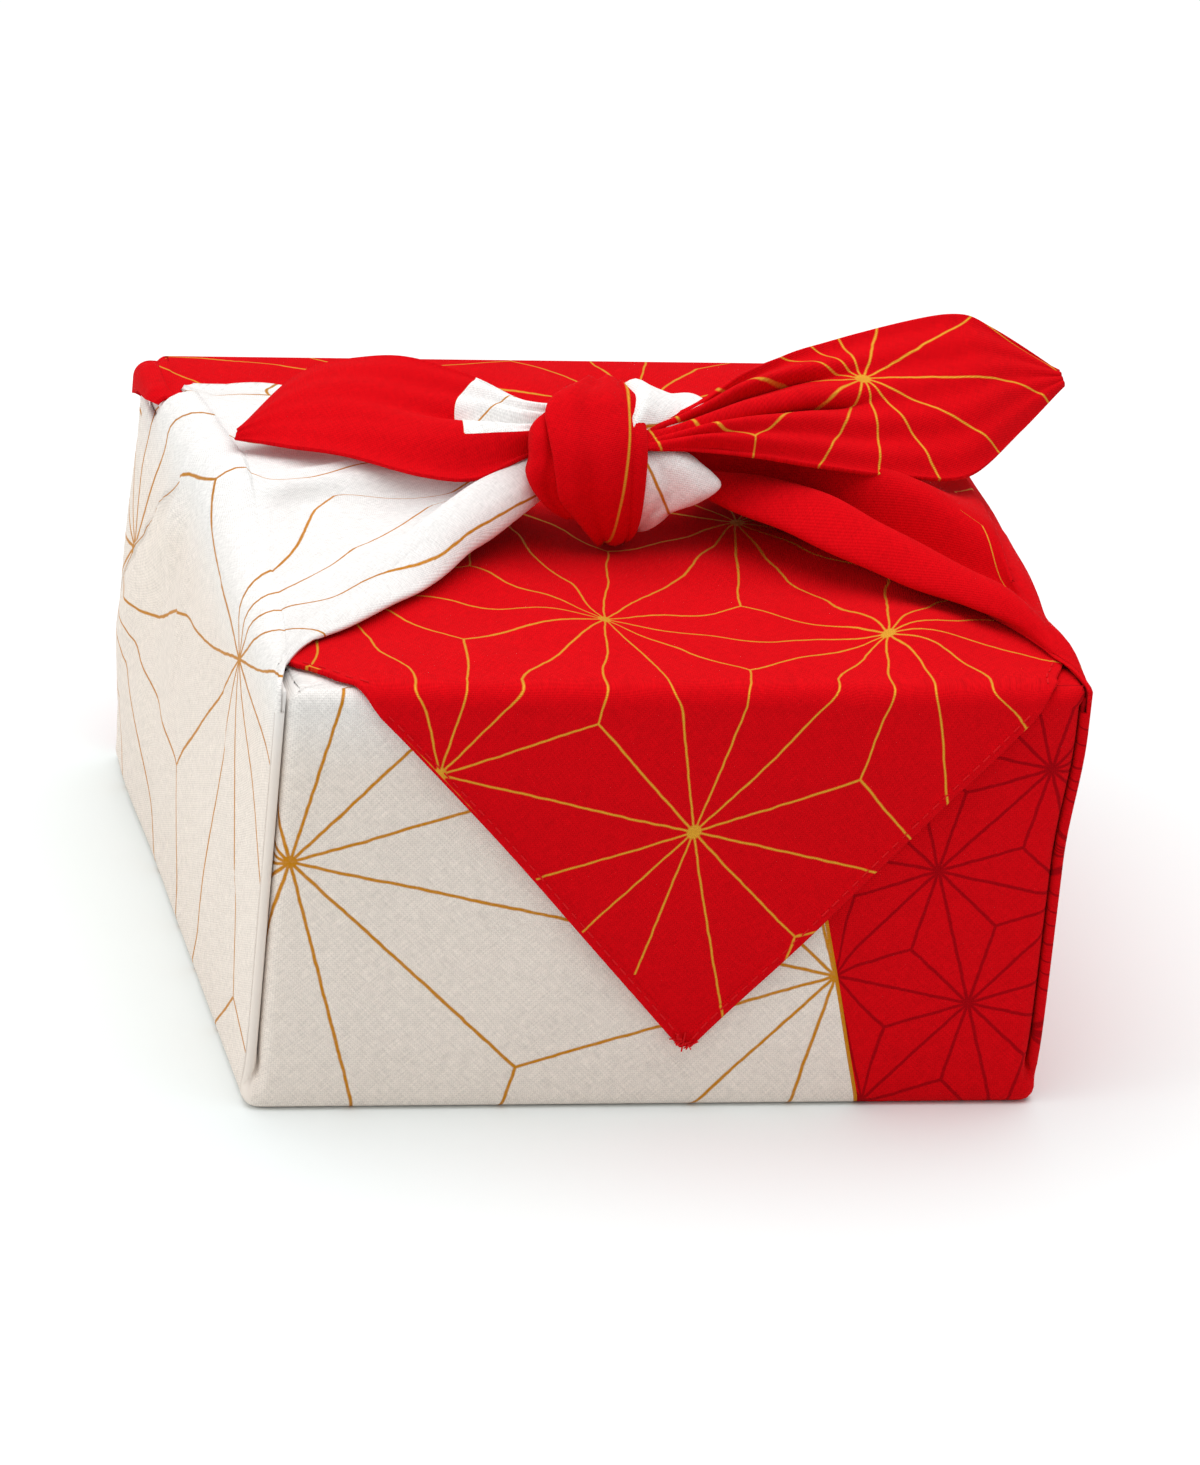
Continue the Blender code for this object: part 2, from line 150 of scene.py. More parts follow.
RIGHT_TAIL_TIMES = (0.0, 0.12, 0.25, 0.38, 0.58, 0.74, 0.88, 1.0)
# Folds of the left tail: height, share along and its reach, share across and its width
LEFT_TAIL_FOLDS = ((6.2, 0.3, 0.24, 0.3, 0.15), (-2.2, 0.28, 0.2, 0.5, 0.07), (1.8, 0.2, 0.16, 0.74, 0.12))
# Folds of the right tail: height, place across (first from the tuck, then from the front hem), width
RIGHT_TAIL_FOLDS = ((3.0, -0.17, 0.11), (-5.6, -0.01, 0.03), (2.6, 0.09, 0.06))
RIGHT_TAIL_REAR_FOLDS = ((-3.2, 0.74, 0.03), (1.4, 0.82, 0.05))
TAIL_ROWS = 110
TAIL_COLUMNS = 96

# Bands of the knot: angle round the strands (0 faces the front, 90 is the top), left x, right x,
# radius
RED_BAND = (
    (-88, -2.0, 2.5, 19.0),
    (-66, -5.0, 3.4, 22.4),
    (-48, -8.5, 3.9, 22.6),
    (-30, -13.2, 4.2, 21.6),
    (-14, -17.2, 4.3, 20.8),
    (4, -18.6, 4.3, 20.4),
    (22, -19.6, 4.4, 20.2),
    (44, -20.6, 4.5, 20.0),
    (62, -20.6, 4.4, 19.6),
    (78, -18.6, 3.6, 19.2),
    (92, -14.8, 2.8, 19.0),
    (114, -9.4, 2.4, 19.6),
    (150, -9.0, 4.5, 19.0),
    (190, -12.0, 6.0, 18.6),
    (225, -12.0, 5.0, 17.0),
)
RED_UNDER_BAND = (
    (-46, -14.6, -7.0, 18.0),
    (-34, -19.0, -9.0, 18.0),
    (-20, -22.6, -12.0, 17.2),
    (0, -25.0, -13.0, 16.6),
    (20, -24.4, -13.0, 16.4),
    (40, -24.4, -14.0, 16.4),
    (58, -23.4, -12.0, 16.2),
    (74, -19.4, -10.0, 15.6),
)
RED_MIDDLE = (-9.0, 20.8)  # y and height of the strands that a loop goes round
RED_FOLDS = (  # place across the band, height, width, drift with the angle
    (-0.62, 0.6, 0.14, 0.1), (-0.25, -0.8, 0.12, 0.12), (0.2, 0.5, 0.16, 0.1), (0.66, -0.9, 0.06, 0.05),
)
WHITE_UPPER_BAND = (
    (34, -4.0, 4.4, 14.6),
    (40, -4.0, 6.8, 16.6),
    (50, -4.0, 12.0, 17.4),
    (60, -4.0, 16.8, 17.6),
    (74, -4.0, 21.6, 17.6),
    (88, -4.0, 23.0, 17.6),
    (106, -4.0, 21.5, 17.6),
    (150, -3.0, 19.0, 17.4),
    (200, -2.0, 20.0, 16.6),
    (235, -2.0, 16.0, 14.0),
)
WHITE_LOWER_BAND = (
    (-86, -3.0, 5.0, 14.0),
    (-66, -3.0, 8.5, 16.8),
    (-46, -3.0, 12.0, 17.8),
    (-30, -3.0, 14.0, 18.0),
    (-16, -3.0, 20.0, 18.0),
    (-4, -3.0, 24.4, 17.8),
    (8, -3.0, 22.6, 17.4),
    (20, -3.0, 19.2, 17.0),
    (32, -3.0, 15.6, 15.6),
    (38, -3.0, 13.0, 12.8),
)
WHITE_MIDDLE = (-9.0, 19.5)

# The print: distance between two stars of the hemp leaf lattice, in millimetres
BIG_LEAF = 141.8
MIDDLE_LEAF = BIG_LEAF / 2
SMALL_LEAF = BIG_LEAF / 4
PRINT_TURN = 12.7  # degrees between the lattice and the edge of the front
LEFT_TURN = -14.7
PRINT_DEPTH = 1.144  # how far the print is stretched from front to back
BARE_SPOT = (35.4, 9.9)  # a place between the lines of the big leaf
ONE_PRINT = 200.0  # distance to the line between two prints where there is no such line
FRONT_STAR = (-93.5, 67.2)  # x and height
LEFT_STAR = (-56.0, 98.7)  # y, and height or way on over the top
FAR_STAR = (73.0, 73.0)
RIGHT_STAR = (62.0, 139.0)
APRON_STAR = (5.0, -37.0)  # x, way back from the front edge
# The line where the front turns dark red: x and height of a point on it, and its normal
RED_EDGE = (40.5, 53.8)
RED_EDGE_NORMAL = (-0.969, -0.245)
DARK_GROWTH = 0.054  # how much larger the dark red leaves are, about a star of their own
# Above these lines the red panels have gold leaves: height where the line starts, and its slope
BACK_LINE = (34.0, -0.12)
RIGHT_LINE = (96.0, 0.04)
# Where the rays of the left star run: y, height or way on over the top, angle of the ray, length
LEFT_CHART = (
    (-55.1, 98.6, 0, 0),
    (-26.0, 104.6, 150, 35.0),
    (-12.7, 107.9, 150, 51.0),
    (5.4, 113.9, 150, 73.5),
    (9.2, 119.9, 150, 81.9),
    (-44.3, 116.2, 120, 21.5),
    (-37.2, 132.8, 120, 38.0),
    (-4.8, 144.2, 120, 68.0),
    (9.6, 159.9, 120, 86.0),
    (-58.4, 115.2, 90, 15.5),
    (-55.2, 142.4, 90, 37.0),
    (-38.1, 159.1, 90, 54.0),
    (-23.6, 168.1, 90, 66.0),
    (-8.5, 179.4, 90, 78.0),
    (-66.1, 115.7, 60, 20.4),
    (-81.4, 138.6, 60, 47.4),
    (-83.2, 153.5, 60, 60.0),
    (-86.8, 163.0, 60, 69.0),
    (-92.3, 173.7, 60, 80.0),
    (-69.5, 110.3, 30, 18.6),
    (-77.4, 117.7, 30, 29.3),
    (-93.2, 134.9, 30, 51.0),
    (-90.6, 110.8, 0, 37.6),
    (-10.4, 84.6, 180, 46.8),
    (53.4, 61.6, 180, 106.0),
    (64.7, 59.4, 180, 116.0),
    (-22.3, 67.5, 210, 45.2),
    (-49.5, 79.8, 240, 19.6),
    (-60.2, 84.7, 270, 14.8),
    (-68.1, 90.1, 300, 15.5),
    (-75.4, 96.5, 330, 20.4),
)
# Lattice points met on the apron and the top: x, way back from the front edge, lattice numbers
APRON_CHART = (
    (5.0, -37.0, 0, 0),
    (-59.5, -21.4, -1, 0),
    (-11.9, 41.2, -1, 1),
    (56.9, 31.2, 0, 1),
    (34.9, 100.7, -1, 2),
    (-21.2, -8.2, -2 / 3, 1 / 3),
    (45.1, -22.9, 1 / 3, 1 / 3),
    (17.5, 10.0, -1 / 3, 2 / 3),
    (-49.0, 28.9, -4 / 3, 2 / 3),
    (23.6, 47.5, -2 / 3, 4 / 3),
)


def linked(name, data):
    """A new object in the scene."""
    obj = bpy.data.objects.new(name, data)
    bpy.context.scene.collection.objects.link(obj)
    return obj


def smooth(value):
    """A soft step: 0 up to 0, and 1 from 1 on."""
    value = np.clip(value, 0.0, 1.0)
    return value * value * (3 - 2 * value)


def bump_at(value, middle, width):
    """A soft hump of height 1."""
    return np.exp(-(((value - middle) / width) ** 2))


def slack(x, y, size, seed, count=12):
    """Soft random waves of slack cloth, mostly between -1 and 1."""
    dice = np.random.default_rng(seed)
    total = np.zeros(np.broadcast(x, y).shape)
    for _ in range(count):
        way = dice.uniform(0, 2 * math.pi)
        rate = 2 * math.pi / (size * dice.uniform(0.65, 1.6))
        along = x * math.cos(way) + y * math.sin(way)
        total += np.sin(rate * along + dice.uniform(0, 2 * math.pi))
    return total / math.sqrt(count)


def spline(points, t, times=None):
    """Points at each t (0 to 1) of a smooth curve that passes each point at its time."""
    points = np.asarray(points, float)
    times = np.linspace(0, 1, len(points)) if times is None else np.asarray(times, float)
    t = np.atleast_1d(np.asarray(t, float))
    slopes = np.gradient(points, times, axis=0)
    i = np.clip(np.searchsorted(times, t, "right") - 1, 0, len(points) - 2)
    shape = (-1,) + (1,) * (points.ndim - 1)
    span = (times[i + 1] - times[i]).reshape(shape)
    f = (t - times[i]).reshape(shape) / span
    here = (1 + 2 * f) * (1 - f) ** 2 * points[i] + f * (1 - f) ** 2 * span * slopes[i]
    there = f**2 * (3 - 2 * f) * points[i + 1] + f**2 * (f - 1) * span * slopes[i + 1]
    return here + there


def turned(u, v, degrees):
    """Places turned about the origin, as pairs in the last axis."""
    a = math.radians(degrees)
    return np.stack([u * math.cos(a) - v * math.sin(a), u * math.sin(a) + v * math.cos(a)], -1)


def path_lengths(points, axis=0):
    """Distance along the cloth from its first row or column to each of the others."""
    steps = np.linalg.norm(np.diff(points, axis=axis), axis=-1)
    start = np.zeros_like(np.take(steps, [0], axis=axis))
    return np.concatenate([start, np.cumsum(steps, axis=axis)], axis=axis)


# ---------------------------------------------------------------- the print, laid on the cloth


def front_print(x, z):
    """Print of the front panel: white with gold, and dark red beyond a slanting line."""
    lattice = turned(x - FRONT_STAR[0], z - FRONT_STAR[1], PRINT_TURN)
    beyond = RED_EDGE_NORMAL[0] * (x - RED_EDGE[0]) + RED_EDGE_NORMAL[1] * (z - RED_EDGE[1])
    growth = DARK_GROWTH * smooth(-beyond / 5)[..., None]
    return lattice - growth * (lattice - (1.25 * BIG_LEAF, 0.0)), beyond


def rays(chart):
    """Chart rows whose lattice place is given as a ray from the star: its angle and length."""
    return [(x, y, *turned(far, 0.0, angle)) for x, y, angle, far in chart]


class Warp:
    """The soft warp that carries a plain lattice through charted points."""

    def __init__(self, chart, plain, reach, ease):
        chart = np.array(chart, float)
        self.plain, self.reach, self.spots = plain, reach, chart[:, :2]
        gaps = chart[:, 2:] - plain(chart[:, 0], chart[:, 1])
        apart = np.linalg.norm(self.spots[:, None] - self.spots[None], axis=-1)
        pull = np.exp(-((apart / reach) ** 2)) + ease * np.eye(len(chart))
        self.weights = np.linalg.solve(pull, gaps)

    def __call__(self, x, y):
        lattice = self.plain(x, y)
        for spot, weight in zip(self.spots, self.weights):
            near = np.exp(-((x - spot[0]) ** 2 + (y - spot[1]) ** 2) / self.reach**2)
            lattice = lattice + near[..., None] * weight
        return lattice


def apron_plain(x, way_back):
    """The lattice of the back arm and apron before its warp. It leans, and is stretched on the top."""
    star_x, star_back = APRON_STAR
    laid = np.where(way_back > 0, 0.86 * way_back - 3 * smooth(way_back / 8), way_back)
    return turned(x - 0.065 * (way_back - star_back) - star_x, laid - star_back, PRINT_TURN)


def left_plain(y, run, star=LEFT_STAR):
    """The lattice of the left panel and arm before its warp."""
    return turned(-(y - star[0]) / PRINT_DEPTH, run - star[1], LEFT_TURN) * 0.993


apron_warp = Warp(
    [(x, back, MIDDLE_LEAF * (i + j / 2), MIDDLE_LEAF * j * ROOT3 / 2) for x, back, i, j in APRON_CHART],
    apron_plain, 42.0, 0.02,
)
left_warp = Warp(rays(LEFT_CHART), left_plain, 30.0, 0.06)


def left_print(y, run):
    """Print of the left panel and arm. run is the height, or the way on over the top.

    A deep pleat hides the cloth between two stars: behind it the far star's lattice goes on.
    """
    high = smooth((run - 88) / 22)
    hidden = smooth((y - 73 + 0.85 * (run - 72) + 7 * high) / (1.5 + 15 * high) + 0.5)[..., None]
    lattice = left_warp(y, run) * (1 - hidden)
    lattice = lattice + (left_plain(y, run, FAR_STAR) - (BIG_LEAF, 0.0)) * hidden
    return lattice, np.full(lattice.shape[:-1], ONE_PRINT)


def apron_print(x, way_back):
    """Print of the back arm and apron. way_back is from the front edge, and negative down the front."""
    lattice = apron_warp(x, way_back)
    wavy = smooth((way_back + 12) / 14)
    lattice[..., 0] += 0.7 * wavy * slack(x, way_back, 26, 5)
    lattice[..., 1] += 1.1 * wavy * slack(x, way_back, 26, 6)
    return lattice, np.full(lattice.shape[:-1], ONE_PRINT)


def right_print(y, run):
    """Print of the right panel and arm: dark red low down, gold on red above a line.

    On the front half of the arm only two single lines show, each charted by its own slope.
    """
    line = np.where(y < -54, run - 139 - 0.95 * (y + 60), run - 145 + 0.28 * (y + 3.5))
    single = np.stack([BARE_SPOT[0] + 0.05 * y, line], -1)
    front = ((y < 26) & (run > 121))[..., None]
    lattice = np.where(front, single, turned(y - RIGHT_STAR[0], run - RIGHT_STAR[1], 0.0))
    return lattice, run - RIGHT_LINE[0] - RIGHT_LINE[1] * (y + 100)


def right_bare(y, run):
    """1 where no line shows on the front half of the right arm."""
    shown = (run > 128) & (run < 150) & (((y > -70) & (y < -55)) | ((y > -44) & (y < 14)))
    return np.where((y < 28) & (run > 114) & ~shown, 1.0, 0.0)


# ---------------------------------------------------------------- building the cloth

WHITE, RED = 0, 1  # material numbers of the two prints


class Cloth:
    """A growing surface: points, four-sided faces, and the print at each face corner."""

    def __init__(self):
        self.points = []
        self.faces = []
        self.prints = []
        self.threads = []
        self.materials = []
        self.count = 0

    def lay(self, points):
        """Adds a grid of points (rows, columns, 3) and returns their numbers."""
        shape = points.shape[:-1]
        self.points.append(points.reshape(-1, 3))
        numbers = np.arange(self.count, self.count + int(np.prod(shape))).reshape(shape)
        self.count += numbers.size
        return numbers

    def panel(self, numbers, lattice, beyond, material, turn_over=False, threads=None, bare=0.0):
        """Faces between the rows and columns of a grid, with its print.

        beyond is the distance to the line between two prints, threads the place along the weave,
        and bare (0 to 1) says where no line of the print shows.
        """
        corners = ((0, 0), (0, 1), (1, 1), (1, 0))
        if turn_over:
            corners = corners[::-1]

        def around(grid):
            rows, columns = grid.shape[0] - 1, grid.shape[1] - 1
            parts = [grid[i : i + rows, j : j + columns] for i, j in corners]
            return np.stack(parts, axis=2).reshape((rows * columns, 4) + grid.shape[2:])

        bare = np.broadcast_to(bare, numbers.shape)
        laid = np.concatenate([lattice, np.stack([beyond, bare], axis=-1)], axis=-1)
        self.faces.append(around(numbers))
        self.prints.append(around(laid))
        self.threads.append(around(lattice if threads is None else threads))
        self.materials.append(np.full(len(self.faces[-1]), material, np.int32))

    def piece(self, name, base=None, thick=CLOTH):
        """The finished object. base is one face with many corners, and its print."""
        mesh = bpy.data.meshes.new(name)
        faces = [tuple(f) for block in self.faces for f in block.tolist()]
        laid = np.concatenate([block.reshape(-1, 4) for block in self.prints])
        woven = np.concatenate([block.reshape(-1, 2) for block in self.threads])
        kinds = np.concatenate(self.materials)
        if base is not None:
            outline, lattice, beyond = base
            faces.append(tuple(outline))
            shown = np.zeros_like(beyond)
            laid = np.concatenate([laid, np.column_stack([lattice, beyond, shown])])
            woven = np.concatenate([woven, lattice])
            kinds = np.append(kinds, WHITE)
        mesh.from_pydata((np.concatenate(self.points) * MM).tolist(), [], faces)
        layers = (("print", laid[:, :2] * MM), ("zone", laid[:, 2:] * (MM, 1)), ("threads", woven * MM))
        for label, values in layers:
            layer = mesh.uv_layers.new(name=label)
            layer.uv.foreach_set("vector", np.ascontiguousarray(values, np.float32).ravel())
        mesh.polygons.foreach_set("material_index", kinds.astype(np.int32))
        mesh.polygons.foreach_set("use_smooth", np.ones(len(kinds), bool))
        for material in PRINTS:
            mesh.materials.append(material)
        mesh.update()
        obj = linked(name, mesh)
        if thick:
            solid = obj.modifiers.new("cloth thickness", "SOLIDIFY")
            solid.thickness = thick * MM
            solid.offset = 0.0
            solid.use_quality_normals = True
        return obj


def side_slack(side, y, z):
    """How far a side panel stands off the box, with its soft folds."""
    share = np.sin(math.pi * np.clip(z / HEIGHT, 0, 1))
    width = np.cos(math.pi * np.clip(y / DEPTH, -0.5, 0.5))
    off = 2.2 * share * width
    low = smooth(z / 14)
    if side < 0:
        # Fuller toward the rear, with a slanting ridge and hollow and three pleats under the arm
        off = off + 4.4 * share**0.7 * bump_at(y, 80, 24) * smooth((103 - y) / 9)
        ridge = y - (71.0 - 0.85 * (z - 59))
        high = low * smooth((z - 20) / 50)
        off = off + high * (1.7 * bump_at(ridge, 0, 7) - 1.5 * bump_at(ridge, -14, 7))
        for spot, size, lean in ((30.0, 1.8, 0.34), (43.0, 1.5, 0.5), (16.0, 1.3, 0.15)):
            pleat = y - spot - lean * (HEIGHT - z)
            off = off + size * high * bump_at(pleat, 0, 2.8) * smooth((z - 45) / 35)
        off = off * (1 - 0.55 * smooth((z - 92) / 16))
        off = off + low * width * 0.5 * slack(y, z * 0.5, 34, 11)
    else:
        off = off + 3.4 * share**0.5 * bump_at(y, 12, 58) + low * width * 0.6 * slack(y, z * 0.5, 34, 12)
    # The tucked cloth behind lifts both ends: past each slanting edge the panel lies lower.
    tuck = GUSSET_SLOPE * (z - GUSSET_START)
    for gap in (y + SIDE_END - tuck, SIDE_END - y - tuck):
        off = off - 0.5 * low * smooth(gap / 3 + 0.5)
    return np.maximum(off, -0.35)


def gusset(z):
    """Plan points of the front-right gusset, from the front panel round to the side panel.

    The cloth turns in behind the side panel, back on itself, and forward round that panel's edge.
    """
    r = UPRIGHT_RADIUS
    depth = 1.5 + max(0.0, GUSSET_SLOPE * (z - GUSSET_START))
    loose = math.exp(-max(z - GUSSET_START, 0.0) / 6)
    pitch = PITCH + 0.3 * loose
    turn = pitch / 2
    x = SIDE_MID - 2 * pitch
    near = -PANEL_MID + r
    far = near + depth
    back = -PANEL_MID + 1.6 + 1.2 * loose
    shares = (0.15, 0.3, 0.45, 0.6, 0.75, 0.9, 1.0)
    half_turn = [math.radians(angle) for angle in (30, 60, 90, 120, 150, 180)]
    points = [(INNER_MID - r, -PANEL_MID)]
    for a in QUARTER_STEPS[1:]:
        points.append((x - r + r * math.sin(a), near - r * math.cos(a)))
    points += [(x, near + depth * share) for share in shares]
    points += [(x + turn - turn * math.cos(a), far + turn * math.sin(a)) for a in half_turn]
    x += pitch
    points += [(x, far + (back - far) * share) for share in shares]
    points += [(x + turn - turn * math.cos(a), back - turn * math.sin(a)) for a in half_turn]
    if z >= GUSSET_START:
        return points
    # Lower down the tuck opens into a plain round corner.
    radius = SIDE_MID - points[0][0]
    folded = float(smooth((z - 4.0) / (GUSSET_START - 4.0)))
    for i, (x, y) in enumerate(points):
        a = math.radians(90 * i / (len(points) - 1))
        plain_x = points[0][0] + radius * math.sin(a) ** 0.7
        plain_y = -PANEL_MID + radius * (1 - max(math.cos(a), 0.0) ** 0.7)
        points[i] = (plain_x + (x - plain_x) * folded, plain_y + (y - plain_y) * folded)
    return points


GUSSET_POINTS = len(gusset(HEIGHT))


def side_columns(guides):
    """y of every wall column of a side panel: the guides of its arm, and columns between them."""
    walls = [guide[0] for guide in guides]
    steps = SIDE_STEPS * (len(walls) - 1)
    return np.interp(np.arange(steps + 1) / SIDE_STEPS, range(len(walls)), walls)


LEFT_COLUMNS = side_columns(LEFT_ARM)
RIGHT_COLUMNS = side_columns(RIGHT_ARM)


def ring(z, inset=0.0):
    """Closed plan loop of the walls at a height, counter-clockwise from the front-left corner."""
    corner = np.array(gusset(z))
    half = corner[0][0]
    xs = np.linspace(-half, half, PANEL_COLUMNS + 1)
    share = smooth((xs + half) / 25) * smooth((half - xs) / 25) * smooth(z / 20)
    loose = 0.35 * share * slack(xs, z * 0.8, 38, 21)
    front = np.stack([xs, -PANEL_MID - loose * smooth((100 - z) / 12)], 1)
    rear_loose = 0.8 * share * slack(xs, z * 0.8, 45, 22)
    rear = np.stack([-xs, PANEL_MID + rear_loose * smooth((104 - z) / 12)], 1)
    reach = (-corner[-1][1] - 1.5) / RIGHT_COLUMNS[-1]
    right = SIDE_MID + side_slack(1, RIGHT_COLUMNS, z)
    left = SIDE_MID + side_slack(-1, LEFT_COLUMNS, z)
    loop = np.concatenate([
        front[:-1],
        corner,
        np.stack([right, RIGHT_COLUMNS * reach], 1),
        (corner * (1, -1))[::-1],
        rear[1:-1],
        corner * (-1, -1),
        np.stack([-left, LEFT_COLUMNS * reach], 1)[::-1],
        (corner * (-1, 1))[::-1][:-1],
    ])
    if inset:
        loop = loop - inset * outward(loop)
    # Toward the top the side panel stands out beside the front right corner.
    corner_off = smooth((-loop[:, 1] - 66) / 30) * smooth((loop[:, 0] - 92) / 4)
    loop[:, 0] += 2.4 * corner_off * float(smooth((z - 66) / 34))
    return loop


def outward(loop):
    """Plan normals of a loop, pointing out."""
    ahead = np.roll(loop, -1, axis=0) - np.roll(loop, 1, axis=0)
    ahead /= np.linalg.norm(ahead, axis=1, keepdims=True)
    return np.stack([ahead[:, 1], -ahead[:, 0]], axis=1)


# Places round the loop of a wall row where each panel starts
RIGHT_COUNT = len(RIGHT_COLUMNS)
LEFT_COUNT = len(LEFT_COLUMNS)
RIGHT_START = PANEL_COLUMNS + GUSSET_POINTS
BACK_START = RIGHT_START + RIGHT_COUNT + GUSSET_POINTS - 1
LEFT_START = BACK_START + PANEL_COLUMNS + GUSSET_POINTS
LOOP_TOTAL = LEFT_START + LEFT_COUNT + GUSSET_POINTS - 1
PRINTED_TUCK = 12  # columns of the front-left gusset that go on with the front's print


def wall_rows():
    """The walls as a grid of points: the round lower edge, then up to the tops of the gussets."""
    rows = []
    for a in QUARTER_STEPS:
        rows.append((FLOOR_MID + EDGE_RADIUS * (1 - math.cos(a)), EDGE_RADIUS * (1 - math.sin(a))))
    rows += [(z, 0.0) for z in (5.5, 8.0, 10.0, *np.linspace(GUSSET_START, GUSSET_TOP, WALL_ROWS))]
    loops = [(ring(z, inset), z) for z, inset in rows]
    return np.array([np.column_stack([plan, np.full(len(plan), z)]) for plan, z in loops])


def print_walls(cloth, walls, numbers):
    """Faces of the walls, each panel with its own print."""
    closed = np.concatenate([walls, walls[:, :1]], axis=1)
    numbers = np.concatenate([numbers, numbers[:, :1]], axis=1)
    way = path_lengths(closed, axis=1)
    half = walls[0, PANEL_COLUMNS, 0]
    after_right = RIGHT_START + RIGHT_COUNT
    back_right = after_right + GUSSET_POINTS - 1
    before_left = LEFT_START - GUSSET_POINTS + 3
    tuck = LOOP_TOTAL - PRINTED_TUCK
    for first, last, kind in (
        (0, RIGHT_START - 1, "front"),
        (RIGHT_START - 1, after_right - 1, "right"),
        (after_right - 1, before_left, "back"),
        (before_left, tuck, "left"),
        (tuck, LOOP_TOTAL, "front again"),
    ):
        part = slice(first, last + 1)
        y, z = closed[:, part, 1], closed[:, part, 2]
        if kind == "front":
            laid = front_print(way[:, part] - half, z)
        elif kind == "front again":
            laid = front_print(way[:, part] - way[:, -1:] - half, z)
        elif kind == "right":
            laid = right_print(y, z)
        elif kind == "back":
            x = way[:, back_right : back_right + 1] + half - way[:, part]
            laid = apron_print(x, DEPTH + HEIGHT - z)[0], z - BACK_LINE[0] - BACK_LINE[1] * x
        else:
            laid = left_print(y, z)
            laid[0][:, GUSSET_POINTS + LEFT_COUNT - 2 :] = BARE_SPOT
        cloth.panel(numbers[:, part], *laid, RED if kind in ("right", "back") else WHITE)


def build_tongues(cloth, walls, numbers):
    """The tops of the four tucked gussets, which stand up under the arms."""
    for start, way_round, top, beyond in (
        (PANEL_COLUMNS, 1, 109.6, -ONE_PRINT),
        (RIGHT_START + RIGHT_COUNT, -1, 111.4, -ONE_PRINT),
        (BACK_START + PANEL_COLUMNS - 1, 1, 111.4, ONE_PRINT),
        (LEFT_START + LEFT_COUNT, -1, 111.4, ONE_PRINT),
    ):
        near, far = (6, 5) if way_round > 0 else (5, 6)
        part = np.arange(start + near, start + GUSSET_POINTS - far) % LOOP_TOTAL
        over = np.repeat(walls[-1:, part], 2, axis=0)
        over[:, :, 2] = np.array([108.0, top])[:, None]
        tongue = np.concatenate([numbers[-1:, part], cloth.lay(over)])
        bare = np.broadcast_to(BARE_SPOT, tongue.shape + (2,))
        cloth.panel(tongue, bare, np.full(tongue.shape, beyond), WHITE)


def build_walls(cloth):
    """Walls and gussets. Returns the top row of numbers, its plan, and the base's outline and print."""
    walls = wall_rows()
    numbers = cloth.lay(walls)
    print_walls(cloth, walls, numbers)
    build_tongues(cloth, walls, numbers)
    foot = walls[0]
    lattice, beyond = front_print(foot[:, 0], -DEPTH / 2 - foot[:, 1])
    beyond = np.minimum(beyond, 70 - foot[:, 1])
    return numbers[-1], walls[-1, :, :2], (numbers[0][::-1], lattice[::-1], beyond[::-1])


def row_of(xs, y, z):
    """One row of points across an arm."""
    return np.column_stack(np.broadcast_arrays(xs, y, z))


def fold_over(plan, normals, tops, bend=EDGE_RADIUS):
    """Rows that carry a run of wall columns up and over a top edge."""
    rows = []
    bend = np.broadcast_to(bend, tops.shape)
    for a in QUARTER:
        inset = (bend * (1 - math.cos(a)))[:, None]
        rows.append(np.column_stack([plan - inset * normals, tops - bend * (1 - math.sin(a))]))
    return np.array(rows)


def top_wave(x, y):
    """Low waves of the slack cloth on top, gone at the box edges."""
    fade = smooth((WIDTH / 2 - np.abs(x)) / 30) * smooth((DEPTH / 2 - np.abs(y)) / 24)
    return fade * (0.45 * np.sin(x / 17 + y / 41) * np.cos(y / 19 - x / 53) + 0.45 * slack(x, y, 30, 31))


def rear_rise(x, y):
    """How much the cloth along the rear edge stands above the top."""
    return (0.9 - 0.004 * x) * smooth((y - 74) / 24)


def lay_arm(cloth, numbers, plan, points):
    """Joins an arm to its run of wall columns. Returns its numbers and its points, wall row first."""
    joined = np.concatenate([numbers[None], cloth.lay(points)])
    return joined, np.concatenate([row_of(*plan.T, GUSSET_TOP)[None], points])


def build_front_arm(cloth, numbers, plan, normals):
    """The front arm lies flat under the others. Its right end fans out over the side arm's tuck."""
    rows = fold_over(plan, normals, np.full(len(plan), FRONT_ARM_MID))
    fan = np.clip((plan[:, 0] - 92.0) / 4.4, 0, 1) * np.linspace(0, 1, len(rows))[:, None]
    rows[..., 0] += 4.0 * fan
    rows[..., 2] += 0.9 * fan
    flap = []
    for y, left, right in ((-97, -94.6, 100.4), (-84, -95, 100), (-64, -86, 92), (-40, -62, 62)):
        xs = np.linspace(left, right, len(plan))
        flap.append(row_of(xs, y, FRONT_ARM_MID + 0.9 * smooth((xs - 92) / 6)))
    joined, points = lay_arm(cloth, numbers, plan, np.concatenate([rows, flap]))
    run_up = GUSSET_TOP + path_lengths(points)
    x = np.broadcast_to(plan[:, 0], run_up.shape)
    cloth.panel(joined, *front_print(x, run_up), WHITE)


def hem_spread(left, right, count):
    """x of every column between two hems, close together over the width of each hem."""
    inner = min(HEM_WIDTH, 0.3 * (right - left))
    near = np.linspace(0, inner, HEM_STEPS + 1)
    middle = np.linspace(left + inner, right - inner, count - 2 * HEM_STEPS)
    return np.concatenate([left + near[:-1], middle, right - near[:-1][::-1]])


